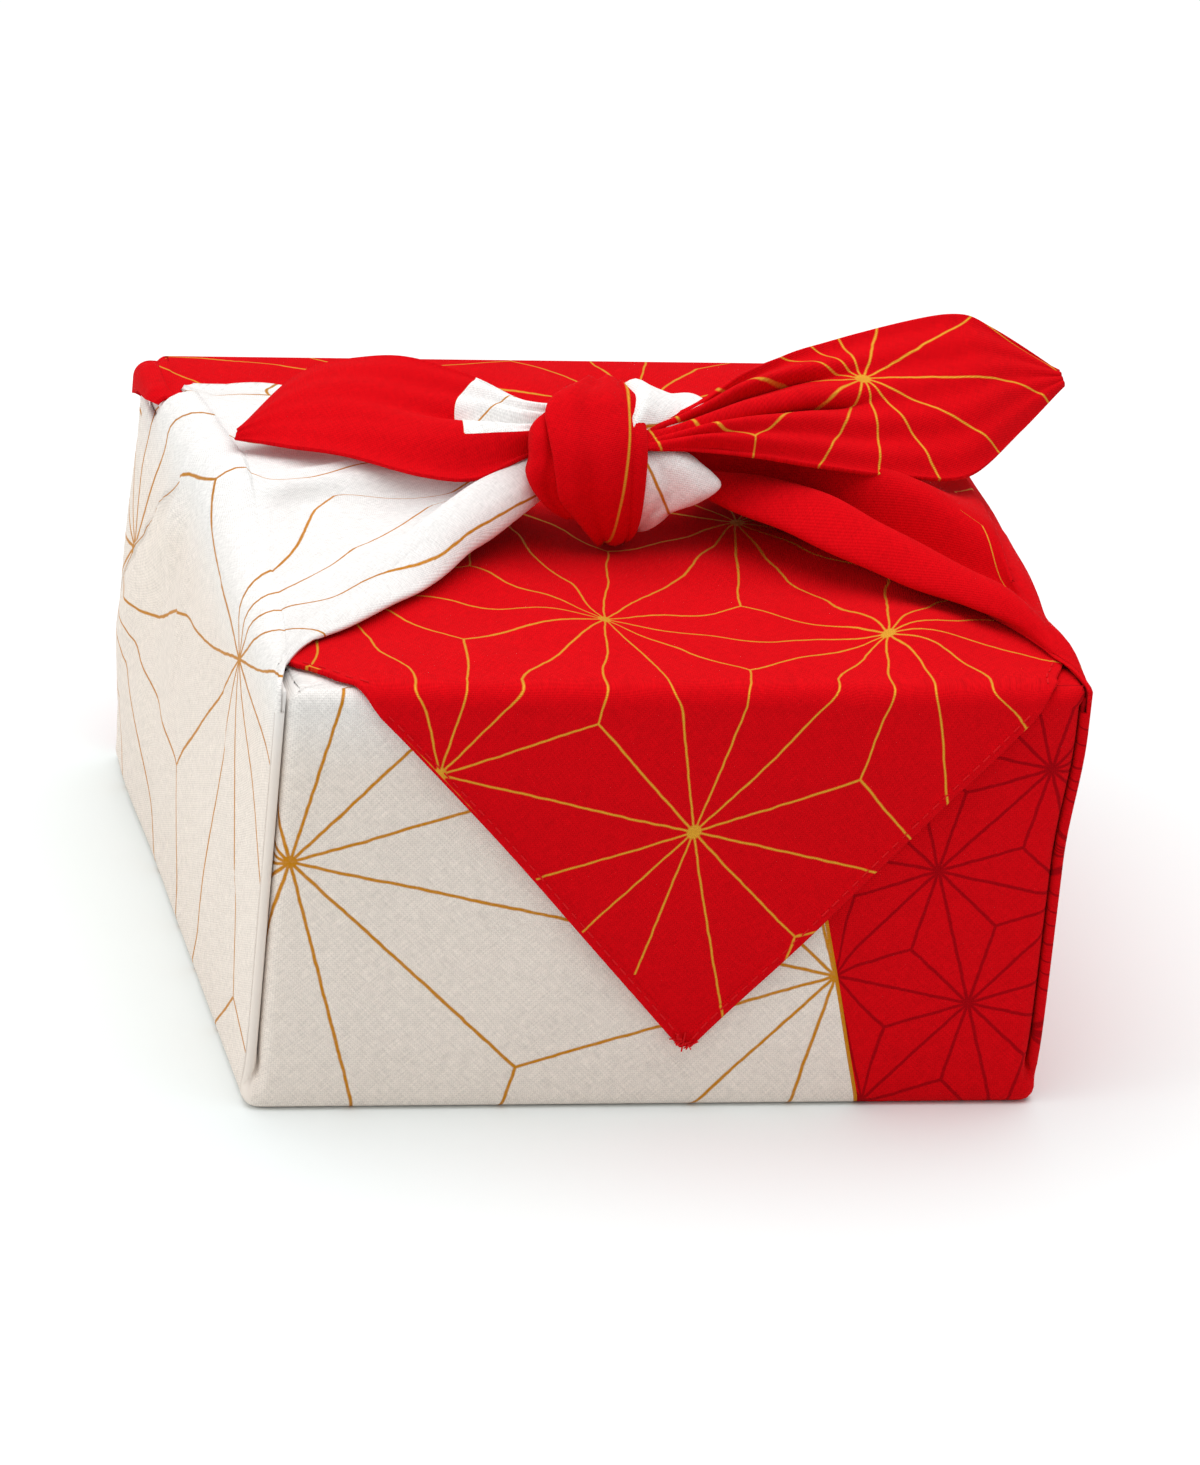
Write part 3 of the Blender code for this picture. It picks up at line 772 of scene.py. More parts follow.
def back_arm_rows():
    """Rows of the back arm from the rear edge to the front one: y, then x of both hems."""
    rows = []
    for y in np.linspace(97, -87, 74):
        left = -88.0 - 9.6 * smooth((y - 70) / 10) - 7.5 * smooth((-66 - y) / 16)
        rows.append((y, left, 95.0 - 0.4 * smooth((y - 80) / 17) + 3.5 * smooth((-70 - y) / 16)))
    return rows + [(-89.5, -95.2, 98.0), (-91.5, -93.2, 97.2), (-93.5, -90.0, 96.4),
                   (-96.0, -87.2, 95.2), (-99.0, -84.8, 93.8)]


def build_back_arm(cloth, numbers, plan, normals):
    """The back arm crosses the top and hangs down the front as a triangle. Returns its seam lines."""
    count = len(plan)
    edge = fold_over(plan, normals, BACK_ARM_MID + rear_rise(plan[:, 0], 105))
    grid = []
    for y, left, right in back_arm_rows():
        xs = hem_spread(left, right, count)
        lift = 3.0 * bump_at(xs, 66, 15) * bump_at(y, -67, 15)
        grid.append(row_of(xs, y, BACK_ARM_MID + top_wave(xs, y) + rear_rise(xs, y) + lift))
    bend = APRON_MID - PANEL_MID + EDGE_RADIUS
    for a in QUARTER:
        near = a / QUARTER[-1]
        xs = hem_spread(APRON_LEFT_TOP - 4.6 * (1 - near), APRON_RIGHT_TOP + 1.5 - 4.5 * near, count)
        y, z = -APRON_MID + bend * (1 - math.sin(a)), BACK_ARM_MID - bend * (1 - math.cos(a))
        grid.append(row_of(xs, y, z))
    top = BACK_ARM_MID - bend
    left, right = APRON_LEFT_TOP + 3.5, APRON_RIGHT_TOP - 3.0
    tip_x, tip_z = APRON_TIP
    for share in np.arange(1, APRON_ROWS + 1) / APRON_ROWS:
        low_left = left + (tip_x - APRON_TIP_WIDTH / 2 - left) * share - 3.5 * (1 - share) ** 4
        low_right = right + (tip_x + APRON_TIP_WIDTH / 2 - right) * share
        xs = hem_spread(low_left, low_right, count)
        z = top + (tip_z + 1.2 - top) * share
        loose = 0.8 * math.sin(math.pi * share) + 0.35 * slack(xs, z, 42, 33) * smooth(share * 6)
        grid.append(row_of(xs, -APRON_MID - loose, z))
    grid = np.array(grid)[:, ::-1]
    # The turned hems stand a little above the cloth between them.
    hem = np.interp(np.arange(count), (0, HEM_STEPS - 1, HEM_STEPS + 1), (HEM_RISE, HEM_RISE, 0))
    hem = hem + hem[::-1]
    grid[:-APRON_ROWS, :, 2] += hem
    grid[-APRON_ROWS:, :, 1] -= hem
    joined, points = lay_arm(cloth, numbers, plan, np.concatenate([edge, grid]))

    # Way back from the front edge: measured on the top and down the front, and even over the bends.
    x, y, z = points.transpose(2, 0, 1)
    turns = len(QUARTER)
    way_back = y + DEPTH / 2
    way_back[: turns + 1] = DEPTH + (HEIGHT - GUSSET_TOP) * (1 - np.arange(turns + 1) / turns)[:, None]
    fold = len(points) - APRON_ROWS - turns
    level = fold + turns
    way_back[fold:level] = 4.5 - (HEIGHT - top + 4.5) * np.arange(turns)[:, None] / (turns - 1)
    way_back[level:] = z[level:] - HEIGHT
    # No line shows at the left end of the front edge, beside the tip, and along the left hem.
    bare = (x < -70) & (abs(way_back + 2.5) < 13.5) & (y < -80)
    bare |= (way_back < -76) & (x < 11)
    bare[-APRON_ROWS:, -2:] = True
    cloth.panel(joined, *apron_print(x, way_back), RED, bare=bare)

    on_cloth = CLOTH / 2 + STITCH_RISE
    lines = []
    for column in (HEM_STEPS - 1, count - HEM_STEPS):
        lines.append(grid[-APRON_ROWS - 11 : -APRON_ROWS - 6, column] + (0, 0, on_cloth))
        lines.append(grid[-APRON_ROWS:-2, column] + (0, -on_cloth, 0))
    return lines


def build_side_arm(cloth, numbers, plan, guides, bends, side):
    """A side arm goes over its top edge and gathers up to the knot."""
    left = side < 0
    shares = np.linspace(0, 1, len(plan))
    if left:
        shares = shares[::-1]
    tops = HEIGHT + spline([guide[1] for guide in guides], shares)
    if left:
        tops = tops + (HEIGHT - 3.2 - tops) * smooth((plan[:, 1] - 74.5) / 9)
    edge = fold_over(plan, np.array([(side, 0.0)] * len(plan)), tops, spline(bends, shares))

    # Over the bend the cloth already drifts half of the way to the first station.
    drift = [0.5 * (guide[2][1] - guide[0] * 1.02) for guide in guides]
    over = np.linspace(0, 1, len(edge))[:, None] ** 1.5
    edge[..., 1] += spline(drift, shares) * over
    edge[..., 0] -= (plan[:, 0] - side * SIDE_MID) * over
    paths = np.array([
        ((side * (SIDE_MID - bend), guide[0] * 1.02 + shift, guide[1]),) + guide[2:]
        for guide, bend, shift in zip(guides, bends, drift)
    ], float)
    t = (np.arange(1, ARM_ROWS + 1) / ARM_ROWS) ** 1.15
    along = spline(paths.transpose(1, 0, 2), t, ARM_TIMES)
    x, y, lift = spline(along.transpose(1, 0, 2), shares).transpose(2, 1, 0)
    t = t[:, None]
    lift = np.maximum(lift, SIDE_ARM_MID - HEIGHT)
    # The rear left end dips below the corner ply.
    under = smooth((y - 75 - 0.8 * (x + 101)) / 3) * smooth((-x - 82) / 5)
    lift = lift + (-3.0 - lift) * under
    if left:
        for spot, size, wide in ((6, 0.8, 4.0), (20, 1.0, 3.6), (32, 1.1, 4.0), (46, 0.9, 4.5)):
            lift = lift + size * bump_at(plan[:, 1], spot, wide) * smooth(t / 0.3) * (1 - t)
    lift = lift + top_wave(x, y) * (1 - smooth(lift / 8))
    lift = lift + 0.5 * slack(x, y, 24, 41 + side) * smooth(lift / 5) * (1 - 0.5 * t)
    body = np.stack([x, y, HEIGHT + lift], axis=-1)
    joined, points = lay_arm(cloth, numbers, plan, np.concatenate([edge, body]))

    run_up = GUSSET_TOP + path_lengths(points)
    across = np.broadcast_to(plan[:, 1], run_up.shape)
    threads = np.stack([across, run_up], axis=-1)
    if left:
        cloth.panel(joined, *left_print(across, run_up), WHITE, threads=threads)
    else:
        bare = right_bare(across, run_up)
        cloth.panel(joined, *right_print(across, run_up), RED, threads=threads, bare=bare)


def build_corner_ply(cloth):
    """The red ply of the back panel that turns round the rear left corner, over the white."""
    turn, lip = 6.0, 3.7  # radii: round the upright corner, and over the top edge
    length, corner = 33.0, 23.5  # of the ply, and where along it the corner begins
    upright, top = 10.2, 17.0  # heights up the ply where it bends over, and where it ends
    way = np.linspace(0, 1, 45)
    along = np.interp(way, (0, 0.66, 1), (0, corner + 0.5, length))
    angle = np.clip((along - corner) / turn, 0, math.pi / 2)
    start, end = smooth((5 - along) / 5), smooth((along - 26) / 7)
    y = 75.5 + np.minimum(along, corner) + turn * np.sin(angle) - 1.6 * end
    past = np.maximum(along - corner - turn * math.pi / 2, 0)
    x = -102.4 + turn * (1 - np.cos(angle)) + past + 1.2 * start
    out = np.stack([-np.cos(angle), np.sin(angle)], axis=-1)
    stand = np.maximum(side_slack(-1, y, 106.0) - 1.0, 0) * smooth(along / 5)
    first = np.interp(along, (0, 5, 17.5, 27, length), (12.2, 10.6, 8.0, 4.6, 1.5))
    down = 1.3 * smooth((along - 18) / 9) + 0.8 * start
    grid = []
    for share in np.linspace(0, 1, 26):
        way_up = first + (top - first) * share
        angle = np.clip((way_up - upright) / lip, 0, math.pi / 2)
        z = 100.4 + np.minimum(way_up, upright) + lip * np.sin(angle)
        offset = -lip * (1 - np.cos(angle)) - np.maximum(way_up - 16.0, 0)
        offset = offset + stand * np.clip((110.2 - z) / 8, 0, 1)
        grid.append(row_of(x + out[:, 0] * offset, y + out[:, 1] * offset, z - down))
    grid.append(grid[-1] + row_of(-0.4 * out[:, 0], -0.4 * out[:, 1], -1.6))
    grid = np.array(grid)
    run = path_lengths(grid)
    lattice = np.stack([np.full(run.shape, BARE_SPOT[0]), 8.0 + 0.1 * run], axis=-1)
    threads = np.stack([along + 0 * run, run], axis=-1)
    cloth.panel(cloth.lay(grid), lattice, np.full(run.shape, ONE_PRINT), RED, True, threads)


def build_body():
    cloth = Cloth()
    top, plan, base = build_walls(cloth)
    normals = outward(plan)

    def run(first, count):
        """The wall columns that an arm rises from."""
        index = np.arange(first, first + count) % LOOP_TOTAL
        return cloth, top[index], plan[index], normals[index]

    panel = PANEL_COLUMNS + 1
    build_front_arm(*run(-5, panel + 10))
    build_side_arm(*run(RIGHT_START - 4, RIGHT_COUNT + 8)[:3], RIGHT_ARM, RIGHT_EDGE, 1)
    hems = build_back_arm(*run(BACK_START - 5, panel + 10))
    build_side_arm(*run(LEFT_START - 4, LEFT_COUNT + 8)[:3], LEFT_ARM, LEFT_EDGE, -1)
    build_corner_ply(cloth)
    return cloth, base, hems


def tail_sheet(stations, times=None):
    """A plain leaf between its two hems: shares along and across it, points, way along, width."""
    t = np.linspace(0, 1, TAIL_ROWS + 1)[:, None]
    u = np.linspace(0, 1, TAIL_COLUMNS + 1)[None]
    station = spline(stations, t[:, 0], times)
    front, rear = station[:, None, :3], station[:, None, 3:]
    points = front + (rear - front) * u[..., None]
    return t, u, points, path_lengths(points), np.linalg.norm(rear - front, axis=-1)


def crown(t, u, start):
    """The soft arch across a tail, from its start along the tail to near its tip."""
    return np.sin(math.pi * u) * smooth((t - start) / 0.3) * smooth((1.08 - t) / 0.3)


def build_left_tail():
    """Red leaf whose front part rolls over the white near the knot."""
    t, u, points, run, width = tail_sheet(LEFT_TAIL)
    open_out = smooth(t / 0.16)
    height = 2.6 * crown(t, u, 0.3)
    for size, spot, far, place, wide in LEFT_TAIL_FOLDS:
        height = height + size * open_out * bump_at(t, spot, far) * bump_at(u, place, wide)
    height = height + 1.1 * open_out * np.exp(-2.6 * t) * np.cos(u * math.pi * 9 + 0.6)
    height = height + 0.45 * slack(t * 90, u * 40, 26, 51) * smooth(t * 2.5)
    points[..., 1] -= 0.35 * height
    points[..., 2] += 0.9 * height + HEIGHT
    across = (u - 0.5) * width
    lattice = 2.0 * (turned(run - 16.0, across - 9.5, 34.5) + (25.0, 0.0))
    white = np.minimum(31.0 + 4.0 * bump_at(u, 0.66, 0.22) - run, (u - 0.26) * 300 + 0 * run)
    beyond = 12 * white  # steep, so that the gold line between two prints is too thin to show
    cloth = Cloth()
    threads = np.stack([run, across], axis=-1)
    cloth.panel(cloth.lay(points), lattice, beyond, WHITE, threads=threads, bare=beyond < 0)
    return cloth


def build_right_tail():
    """Red leaf gathered at the knot, with a deep tuck below its star."""
    t, u, points, run, width = tail_sheet(RIGHT_TAIL, RIGHT_TAIL_TIMES)
    open_out = smooth((t - 0.02) / 0.14)
    height = 2.4 * crown(t, u, 0.2)
    height = height + 2.3 * open_out * np.exp(-2.4 * t) * np.cos(u * math.pi * 9 + 2.2)
    tuck = open_out * smooth((0.60 - t) / 0.26)
    fold = 0.42 + 0.18 * t
    for size, place, wide in RIGHT_TAIL_FOLDS:
        height = height + size * tuck * bump_at(u, fold + place, wide)
    for size, place, wide in RIGHT_TAIL_REAR_FOLDS:
        height = height + size * tuck * bump_at(u, place, wide)
    height = height + 0.5 * slack(t * 100, u * 40, 28, 61) * smooth(t * 2.5)
    points[..., 1] -= height * 0.6 + 2.4 * tuck * bump_at(u, fold + 0.05, 0.04)
    points[..., 2] += height * 0.8 + HEIGHT
    across = (u - 0.66) * width
    lattice = turned(run - MIDDLE_LEAF + 0.7, across, 10.0)
    cloth = Cloth()
    threads = np.stack([run, across], axis=-1)
    cloth.panel(cloth.lay(points), lattice, np.full(run.shape, ONE_PRINT), RED, True, threads)
    return cloth


def band(cloth, rows, middle, folds, seed, lines, material, depth=4.2):
    """A gathered band of cloth round the strands. lines gives its print from angle and x."""
    table = np.array(rows, float)
    turned_by = table[-1, 0] - table[0, 0]
    shares = np.linspace(0, 1, max(24, int(turned_by / 2)))
    left, right, radius = spline(table[:, 1:], shares, (table[:, 0] - table[0, 0]) / turned_by).T[..., None]
    a = np.radians(table[0, 0] + turned_by * shares)[:, None]
    around = np.linspace(0, 2 * math.pi, 73)[None]
    outer = np.sign(np.sin(around)) * np.abs(np.sin(around)) ** 0.7
    side = np.sign(np.cos(around)) * np.abs(np.cos(around)) ** 0.75
    x = (left + right) / 2 + (right - left) / 2 * side
    level = radius - depth + depth * outer
    for spot, size, width, drift in folds:
        level = level + size * bump_at(side, spot + drift * np.sin(a), width) * (outer > 0)
    level = level + 0.3 * slack(x, a * 20, 16, seed) * (outer > 0)
    y = middle[0] - level * np.cos(a)
    z = HEIGHT + np.maximum(middle[1] + level * np.sin(a), 1.2)
    numbers = close_tube(cloth, np.stack([x, y, z], axis=-1))
    threads = np.stack([x + 2 * level * (outer < 0), 20.0 * a + 0 * x], axis=-1)
    lattice = np.stack(lines(a + 0 * x, x), axis=-1)
    beyond = np.full(x.shape, ONE_PRINT)
    cloth.panel(numbers, lattice, beyond, material, threads=threads, bare=outer < 0.2)


def close_tube(cloth, points):
    """Numbers of a tube of cloth whose last column is its first one, with both ends drawn in."""
    for end in (0, -1):
        middle = points[end, :-1].mean(axis=0)
        points[end] = middle + (points[end] - middle) * 0.02
    numbers = cloth.lay(points[:, :-1])
    return np.concatenate([numbers, numbers[:, :1]], axis=1)


def build_red_loop():
    cloth = Cloth()
    far = BARE_SPOT[0]
    band(cloth, RED_BAND, RED_MIDDLE, RED_FOLDS, 71,
         lambda a, x: (far + 2 * a, 0.88 * (x + 1.6 - 1.9 * a)), RED, 2.8)
    band(cloth, RED_UNDER_BAND, RED_MIDDLE, ((-0.2, -0.7, 0.2, 0.1),), 73,
         lambda a, x: (far + 2 * a, 0.2 * x + 8.0), RED)
    return cloth


def build_white_loop():
    cloth = Cloth()
    band(cloth, WHITE_UPPER_BAND, WHITE_MIDDLE, ((-0.3, 2.6, 0.3, 0.0), (0.3, -0.9, 0.2, 0.2)), 72,
         lambda a, x: (60.0 + x, 17 * a - 13.35 - 0.297 * x), WHITE)
    band(cloth, WHITE_LOWER_BAND, WHITE_MIDDLE, ((0.0, -1.0, 0.1, -0.25), (0.5, 0.5, 0.2, 0.0)), 74,
         lambda a, x: (MIDDLE_LEAF + 17 * a, x - 7.5 + 8.7 * a), WHITE)
    return cloth


# ---------------------------------------------------------------- materials

# Colours
RED_DYE = (0.64, 0.0018, 0.0055, 1)
DARK_RED = (0.36, 0.0008, 0.004, 1)
# Painted light: the walls' white is darker and warmer than the top's. That is painted shade over the
# cotton's own tint, and the top's paler white is painted light.
SHADED_WALL_WHITE = (0.82, 0.735, 0.665, 1)
LIT_TOP_WHITE = (0.86, 0.85, 0.84, 1)
GOLD_ON_WHITE = (0.55, 0.215, 0.008, 1)
GOLD_ON_RED = (0.68, 0.34, 0.03, 1)
THREAD_RED = (0.66, 0.010, 0.014, 1)
FLOOR_PALE = (0.89, 0.94, 0.945, 1)

# Sizes of the print and the weave, in metres as the shaders read them
GOLD_STAR = 0.0021
DARK_STAR = 0.0011
WHITE_LINE_WIDTH = 0.00085  # of the gold lines on the white print
RED_LINE_WIDTH = 0.00048  # of the gold lines on the red print
DARK_LINE_WIDTH = 0.0008
EDGE_LINE_HALF = 0.00045  # half the gold line between two prints
LINE_WAVER = 0.0005
PAINTED_LIGHT_START, PAINTED_LIGHT_FULL = 0.086, 0.122  # heights between which the white pales, from the painted shade of the walls to the painted light of the top
WEAVE_TURN = 0.57  # radians between the weave and the edge of a panel


class Wire:
    """A value in a node tree. Sums of values are written as sums, and become Math nodes."""

    def __init__(self, tree, socket):
        self.tree, self.socket = tree, socket

    def __add__(self, other):
        return self.tree.math("ADD", self, other)

    def __sub__(self, other):
        return self.tree.math("SUBTRACT", self, other)

    def __mul__(self, other):
        return self.tree.math("MULTIPLY", self, other)

    def __truediv__(self, other):
        return self.tree.math("DIVIDE", self, other)


class Tree:
    """Short ways to add and join nodes."""

    def __init__(self, tree):
        self.tree = tree

    def node(self, kind, values=None, **settings):
        made = self.tree.nodes.new(kind)
        for name, value in settings.items():
            setattr(made, name, value)
        for key, value in (values or {}).items():
            self.put(made.inputs[key], value)
        return made

    def put(self, socket, value):
        if isinstance(value, Wire):
            self.tree.links.new(value.socket, socket)
        else:
            socket.default_value = value

    def get(self, kind, values=None, output=0, **settings):
        """One output of a new node."""
        return Wire(self, self.node(kind, values, **settings).outputs[output])

    def math(self, operation, *values):
        return self.get("ShaderNodeMath", dict(enumerate(values)), operation=operation)

    def vector(self, operation, first, second):
        """A vector operation. For SCALE the second value is a plain number."""
        other = "Scale" if operation == "SCALE" else 1
        output = "Value" if operation == "DOT_PRODUCT" else "Vector"
        return self.get("ShaderNodeVectorMath", {0: first, other: second}, output, operation=operation)

    def along(self, vector, degrees):
        """How far a point lies along a line at an angle through the origin."""
        a = math.radians(degrees)
        return self.vector("DOT_PRODUCT", vector, (math.cos(a), math.sin(a), 0))

    def split(self, vector):
        return [Wire(self, part) for part in self.node("ShaderNodeSeparateXYZ", {0: vector}).outputs]

    def mix(self, share, first, second):
        """A colour between two."""
        return self.get("ShaderNodeMix", {0: share, 6: first, 7: second}, 2, data_type="RGBA")

    def noise(self, vector, scale, detail, output="Fac"):
        values = {"Vector": vector, "Scale": scale, "Detail": detail}
        return self.get("ShaderNodeTexNoise", values, output)

    def use(self, group, values):
        """A shader group placed in this tree, with its outputs by name."""
        made = self.tree.nodes.new("ShaderNodeGroup")
        made.node_tree = group
        for key, value in values.items():
            self.put(made.inputs[key], value)
        return {socket.name: Wire(self, socket) for socket in made.outputs}


def new_group(name, inputs, outputs, kind="ShaderNodeTree"):
    """A node group with its sockets: the group, its tree, its inputs by name, and its output sockets."""
    group = bpy.data.node_groups.new(name, kind)
    for label, sort, value in inputs:
        socket = group.interface.new_socket(label, in_out="INPUT", socket_type="NodeSocket" + sort)
        if value is not None:
            socket.default_value = value
    for label, sort in outputs:
        group.interface.new_socket(label, in_out="OUTPUT", socket_type="NodeSocket" + sort)
    tree = Tree(group)
    given = {s.name: Wire(tree, s) for s in tree.node("NodeGroupInput").outputs if s.name}
    return group, tree, given, tree.node("NodeGroupOutput").inputs


def distance_to_lines(tree, value, step):
    """Distance from value to the nearest whole multiple of step, and the number of that multiple."""
    share = value / step + 0.5
    off = tree.math("ABSOLUTE", tree.math("FRACT", share) - 0.5) * step
    return off, tree.math("FLOOR", share)


def leaf_group():
    """Hemp leaf lattice: twelve rays from every star, six of them meeting three by three."""
    group, tree, given, out = new_group(
        "hemp leaf lines",
        (
            ("Vector", "Vector", None),
            ("Star distance", "Float", 0.0709),
            ("Line width", "Float", 0.0008),
            ("Star size", "Float", 0.0023),
            ("Softness", "Float", 0.00015),
        ),
        (("Mask", "Float"),),
    )
    spot, step, soft = given["Vector"], given["Star distance"], given["Softness"]
    row = step * (ROOT3 / 2)
    nearest = None
    squares = None
    for angle in (0, 60, 120):  # the rays from star to star
        off, _ = distance_to_lines(tree, tree.along(spot, angle + 90), row)
        nearest = tree.math("MINIMUM", off, nearest) if nearest else off
        squares = off * off + squares if squares else off * off
    for angle in (30, 90, 150):  # the rays that end where three of them meet
        off, number = distance_to_lines(tree, tree.along(spot, angle + 90), step * 0.5)
        shift = tree.math("FLOORED_MODULO", number, 2.0) * row
        reach, _ = distance_to_lines(tree, tree.along(spot, angle) - shift, step * ROOT3)
        past = tree.math("GREATER_THAN", reach, step / ROOT3)
        nearest = tree.math("MINIMUM", nearest, off + past)
    line = (given["Line width"] * 0.5 + soft - nearest) / (soft * 2.0)
    radius = tree.math("SQRT", squares / 1.5)
    disc = (given["Star size"] - radius) / 0.0005
    both = tree.math("MAXIMUM", line, disc)
    tree.put(out["Mask"], tree.math("MINIMUM", tree.math("MAXIMUM", both, 0.0), 1.0))
    return group


def weave_group():
    """Plain weave: threads over and under each other, uneven in thickness."""
    group, tree, given, out = new_group(
        "plain weave",
        (("Vector", "Vector", None), ("Thread pitch", "Float", 0.00075)),
        (("Height", "Float"), ("Shade", "Float")),
    )
    cloth = tree.get("ShaderNodeMapping", {"Vector": given["Vector"], "Rotation": (0, 0, WEAVE_TURN)})
    rate = tree.math("DIVIDE", 2 * math.pi, given["Thread pitch"])
    across, along, _ = tree.split(tree.vector("SCALE", cloth, rate))
    over = tree.math("SINE", across) * tree.math("SINE", along)
    slub = None
    for stretch in ((260.0, 2600.0, 1.0), (2600.0, 260.0, 1.0)):
        place = tree.get("ShaderNodeMapping", {"Vector": cloth, "Scale": stretch})
        thread = tree.noise(place, 1.0, 1.0)
        slub = slub + thread if slub else thread
    tree.put(out["Height"], over * 0.25 + slub * 0.45)
    tree.put(out["Shade"], over * 0.09 + slub * 0.34)
    return group


LEAF = leaf_group()
WEAVE = weave_group()


def printed_cotton(name, low, high, gold, leaf, line_width):
    """Cotton with a gold hemp leaf on its own ground, and the dark red one beyond the zone line.

    low and high are the ground's colours on the walls and on the top. Between them the ground is mixed by
    height: painted shade on the walls, painted light on the top.
    """
    material = bpy.data.materials.new(name)
    material.use_nodes = True
    material.node_tree.nodes.clear()
    tree = Tree(material.node_tree)
    laid, zone, woven = (tree.get("ShaderNodeUVMap", uv_map=layer) for layer in ("print", "zone", "threads"))
    beyond, bare, _ = tree.split(zone)
    own = tree.math("GREATER_THAN", beyond, 0.0)
    shown = tree.math("LESS_THAN", bare, 0.5)
    waver = tree.vector("SUBTRACT", tree.noise(laid, 260.0, 1.0, "Color"), (0.5, 0.5, 0.5))
    spot = tree.vector("ADD", laid, tree.vector("SCALE", waver, LINE_WAVER))

    def leaves(distance, width, star):
        sizes = {"Star distance": distance * MM, "Line width": width, "Star size": star}
        return tree.use(LEAF, {"Vector": spot, **sizes})["Mask"]

    gold_leaf = leaves(leaf, line_width, GOLD_STAR) * (own * shown)
    dark_leaf = leaves(SMALL_LEAF, DARK_LINE_WIDTH, DARK_STAR) * shown
    on_edge = tree.math("LESS_THAN", tree.math("ABSOLUTE", beyond), EDGE_LINE_HALF)
    worn = tree.noise(woven, 900.0, 2.0) * 0.24 + 0.86
    cover = tree.math("MINIMUM", tree.math("MAXIMUM", gold_leaf, on_edge) * worn, 1.0)

    weave = tree.use(WEAVE, {"Vector": woven})
    shade = weave["Shade"] + 0.62 + tree.noise(woven, 22.0, 3.0) * 0.09
    up = tree.split(tree.get("ShaderNodeTexCoord", output="Object"))[2]
    # Painted light: the ground pales with height, from the shaded wall colour to the lit top colour.
    heights = {0: up, 1: PAINTED_LIGHT_START, 2: PAINTED_LIGHT_FULL}
    painted_top_light = tree.get("ShaderNodeMapRange", heights, interpolation_type="SMOOTHSTEP")
    red = tree.mix(dark_leaf, RED_DYE, DARK_RED)
    ground = tree.mix(own, red, tree.mix(painted_top_light, low, high))
    bump = {"Strength": 0.6, "Distance": 0.0003, "Height": weave["Height"]}
    shader = tree.get("ShaderNodeBsdfPrincipled", {
        "Base Color": tree.mix(cover, tree.vector("SCALE", ground, shade), gold),
        "Roughness": tree.get("ShaderNodeMix", {0: cover, 2: 0.88, 3: 0.48}, data_type="FLOAT"),
        "Metallic": cover * 0.35,
        "Normal": tree.get("ShaderNodeBump", bump),
        "Specular IOR Level": 0.03,
        "Sheen Weight": 0.01,
        "Sheen Roughness": 0.5,
    })
    tree.node("ShaderNodeOutputMaterial", {"Surface": shader})
    return material


PRINTS = (
    # The white print's ground carries painted shade on the walls and painted light on the top; the red print
    # has one colour for both.
    printed_cotton("white print cotton", SHADED_WALL_WHITE, LIT_TOP_WHITE, GOLD_ON_WHITE, BIG_LEAF, WHITE_LINE_WIDTH),
    printed_cotton("red print cotton", RED_DYE, RED_DYE, GOLD_ON_RED, MIDDLE_LEAF, RED_LINE_WIDTH),
)


# ---------------------------------------------------------------- stitches and loose threads


def thread_group():
    """Short threads laid along a line: hem stitches, or a fray when they are spread and lengthened."""
    group, tree, given, out = new_group(
        "threads along a line",
        (
            ("Geometry", "Geometry", None),
            ("Pitch", "Float", 0.0034),
            ("Length", "Float", 0.0021),
            ("Thickness", "Float", 0.0002),
            ("Spread", "Float", 0.0),
            ("Seed", "Int", 1),
            ("Thread", "Material", None),
        ),
        (("Geometry", "Geometry"),),
        "GeometryNodeTree",
    )
    get = tree.get
    curve = get("GeometryNodeMeshToCurve", {0: given["Geometry"]})
    points = get("GeometryNodeResampleCurve", {"Curve": curve, "Length": given["Pitch"]}, mode="LENGTH")
    tangent = get("GeometryNodeInputTangent")
    along = get("FunctionNodeAlignRotationToVector", {"Vector": tangent}, axis="Z")
    dice = {0: (-1.0, -1.0, -1.0), 1: (1.0, 1.0, 1.0), "Seed": given["Seed"]}
    astray = get("FunctionNodeRandomValue", dice, data_type="FLOAT_VECTOR")
    astray = tree.vector("SCALE", astray, given["Spread"])
    turn = get("FunctionNodeRotateRotation", {0: along, 1: astray}, rotation_space="LOCAL")
    size = get("FunctionNodeRandomValue", {2: 0.8, 3: 1.15, "Seed": given["Seed"]}, 1, data_type="FLOAT")
    sizes = {"Vertices": 6, "Radius": given["Thickness"], "Depth": given["Length"]}
    thread = get("GeometryNodeMeshCylinder", sizes)
    placed = {"Points": points, "Instance": thread, "Rotation": turn, "Scale": size}
    real = get("GeometryNodeRealizeInstances", {0: get("GeometryNodeInstanceOnPoints", placed)})
    tree.put(out[0], get("GeometryNodeSetMaterial", {0: real, "Material": given["Thread"]}))
    return group


def run_threads(group, name, lines, **settings):
    """Lays threads along lines of points and returns one plain mesh object."""
    points, edges = [], []
    for line in lines:
        first = len(points)
        points += (np.asarray(line) * MM).tolist()
        edges += [(i, i + 1) for i in range(first, len(points) - 1)]
    mesh = bpy.data.meshes.new(name)
    mesh.from_pydata(points, edges, [])
    obj = linked(name, mesh)
    layer = obj.modifiers.new("threads", "NODES")
    layer.node_group = group
    for item in group.interface.items_tree:
        if item.item_type == "SOCKET" and item.in_out == "INPUT" and item.name in settings:
            layer[item.identifier] = settings[item.name]
    graph = bpy.context.evaluated_depsgraph_get()
    done = bpy.data.meshes.new_from_object(obj.evaluated_get(graph), depsgraph=graph)
    obj.modifiers.clear()
    obj.data = done
    done.name = name
    return obj


# ---------------------------------------------------------------- floor, light, camera


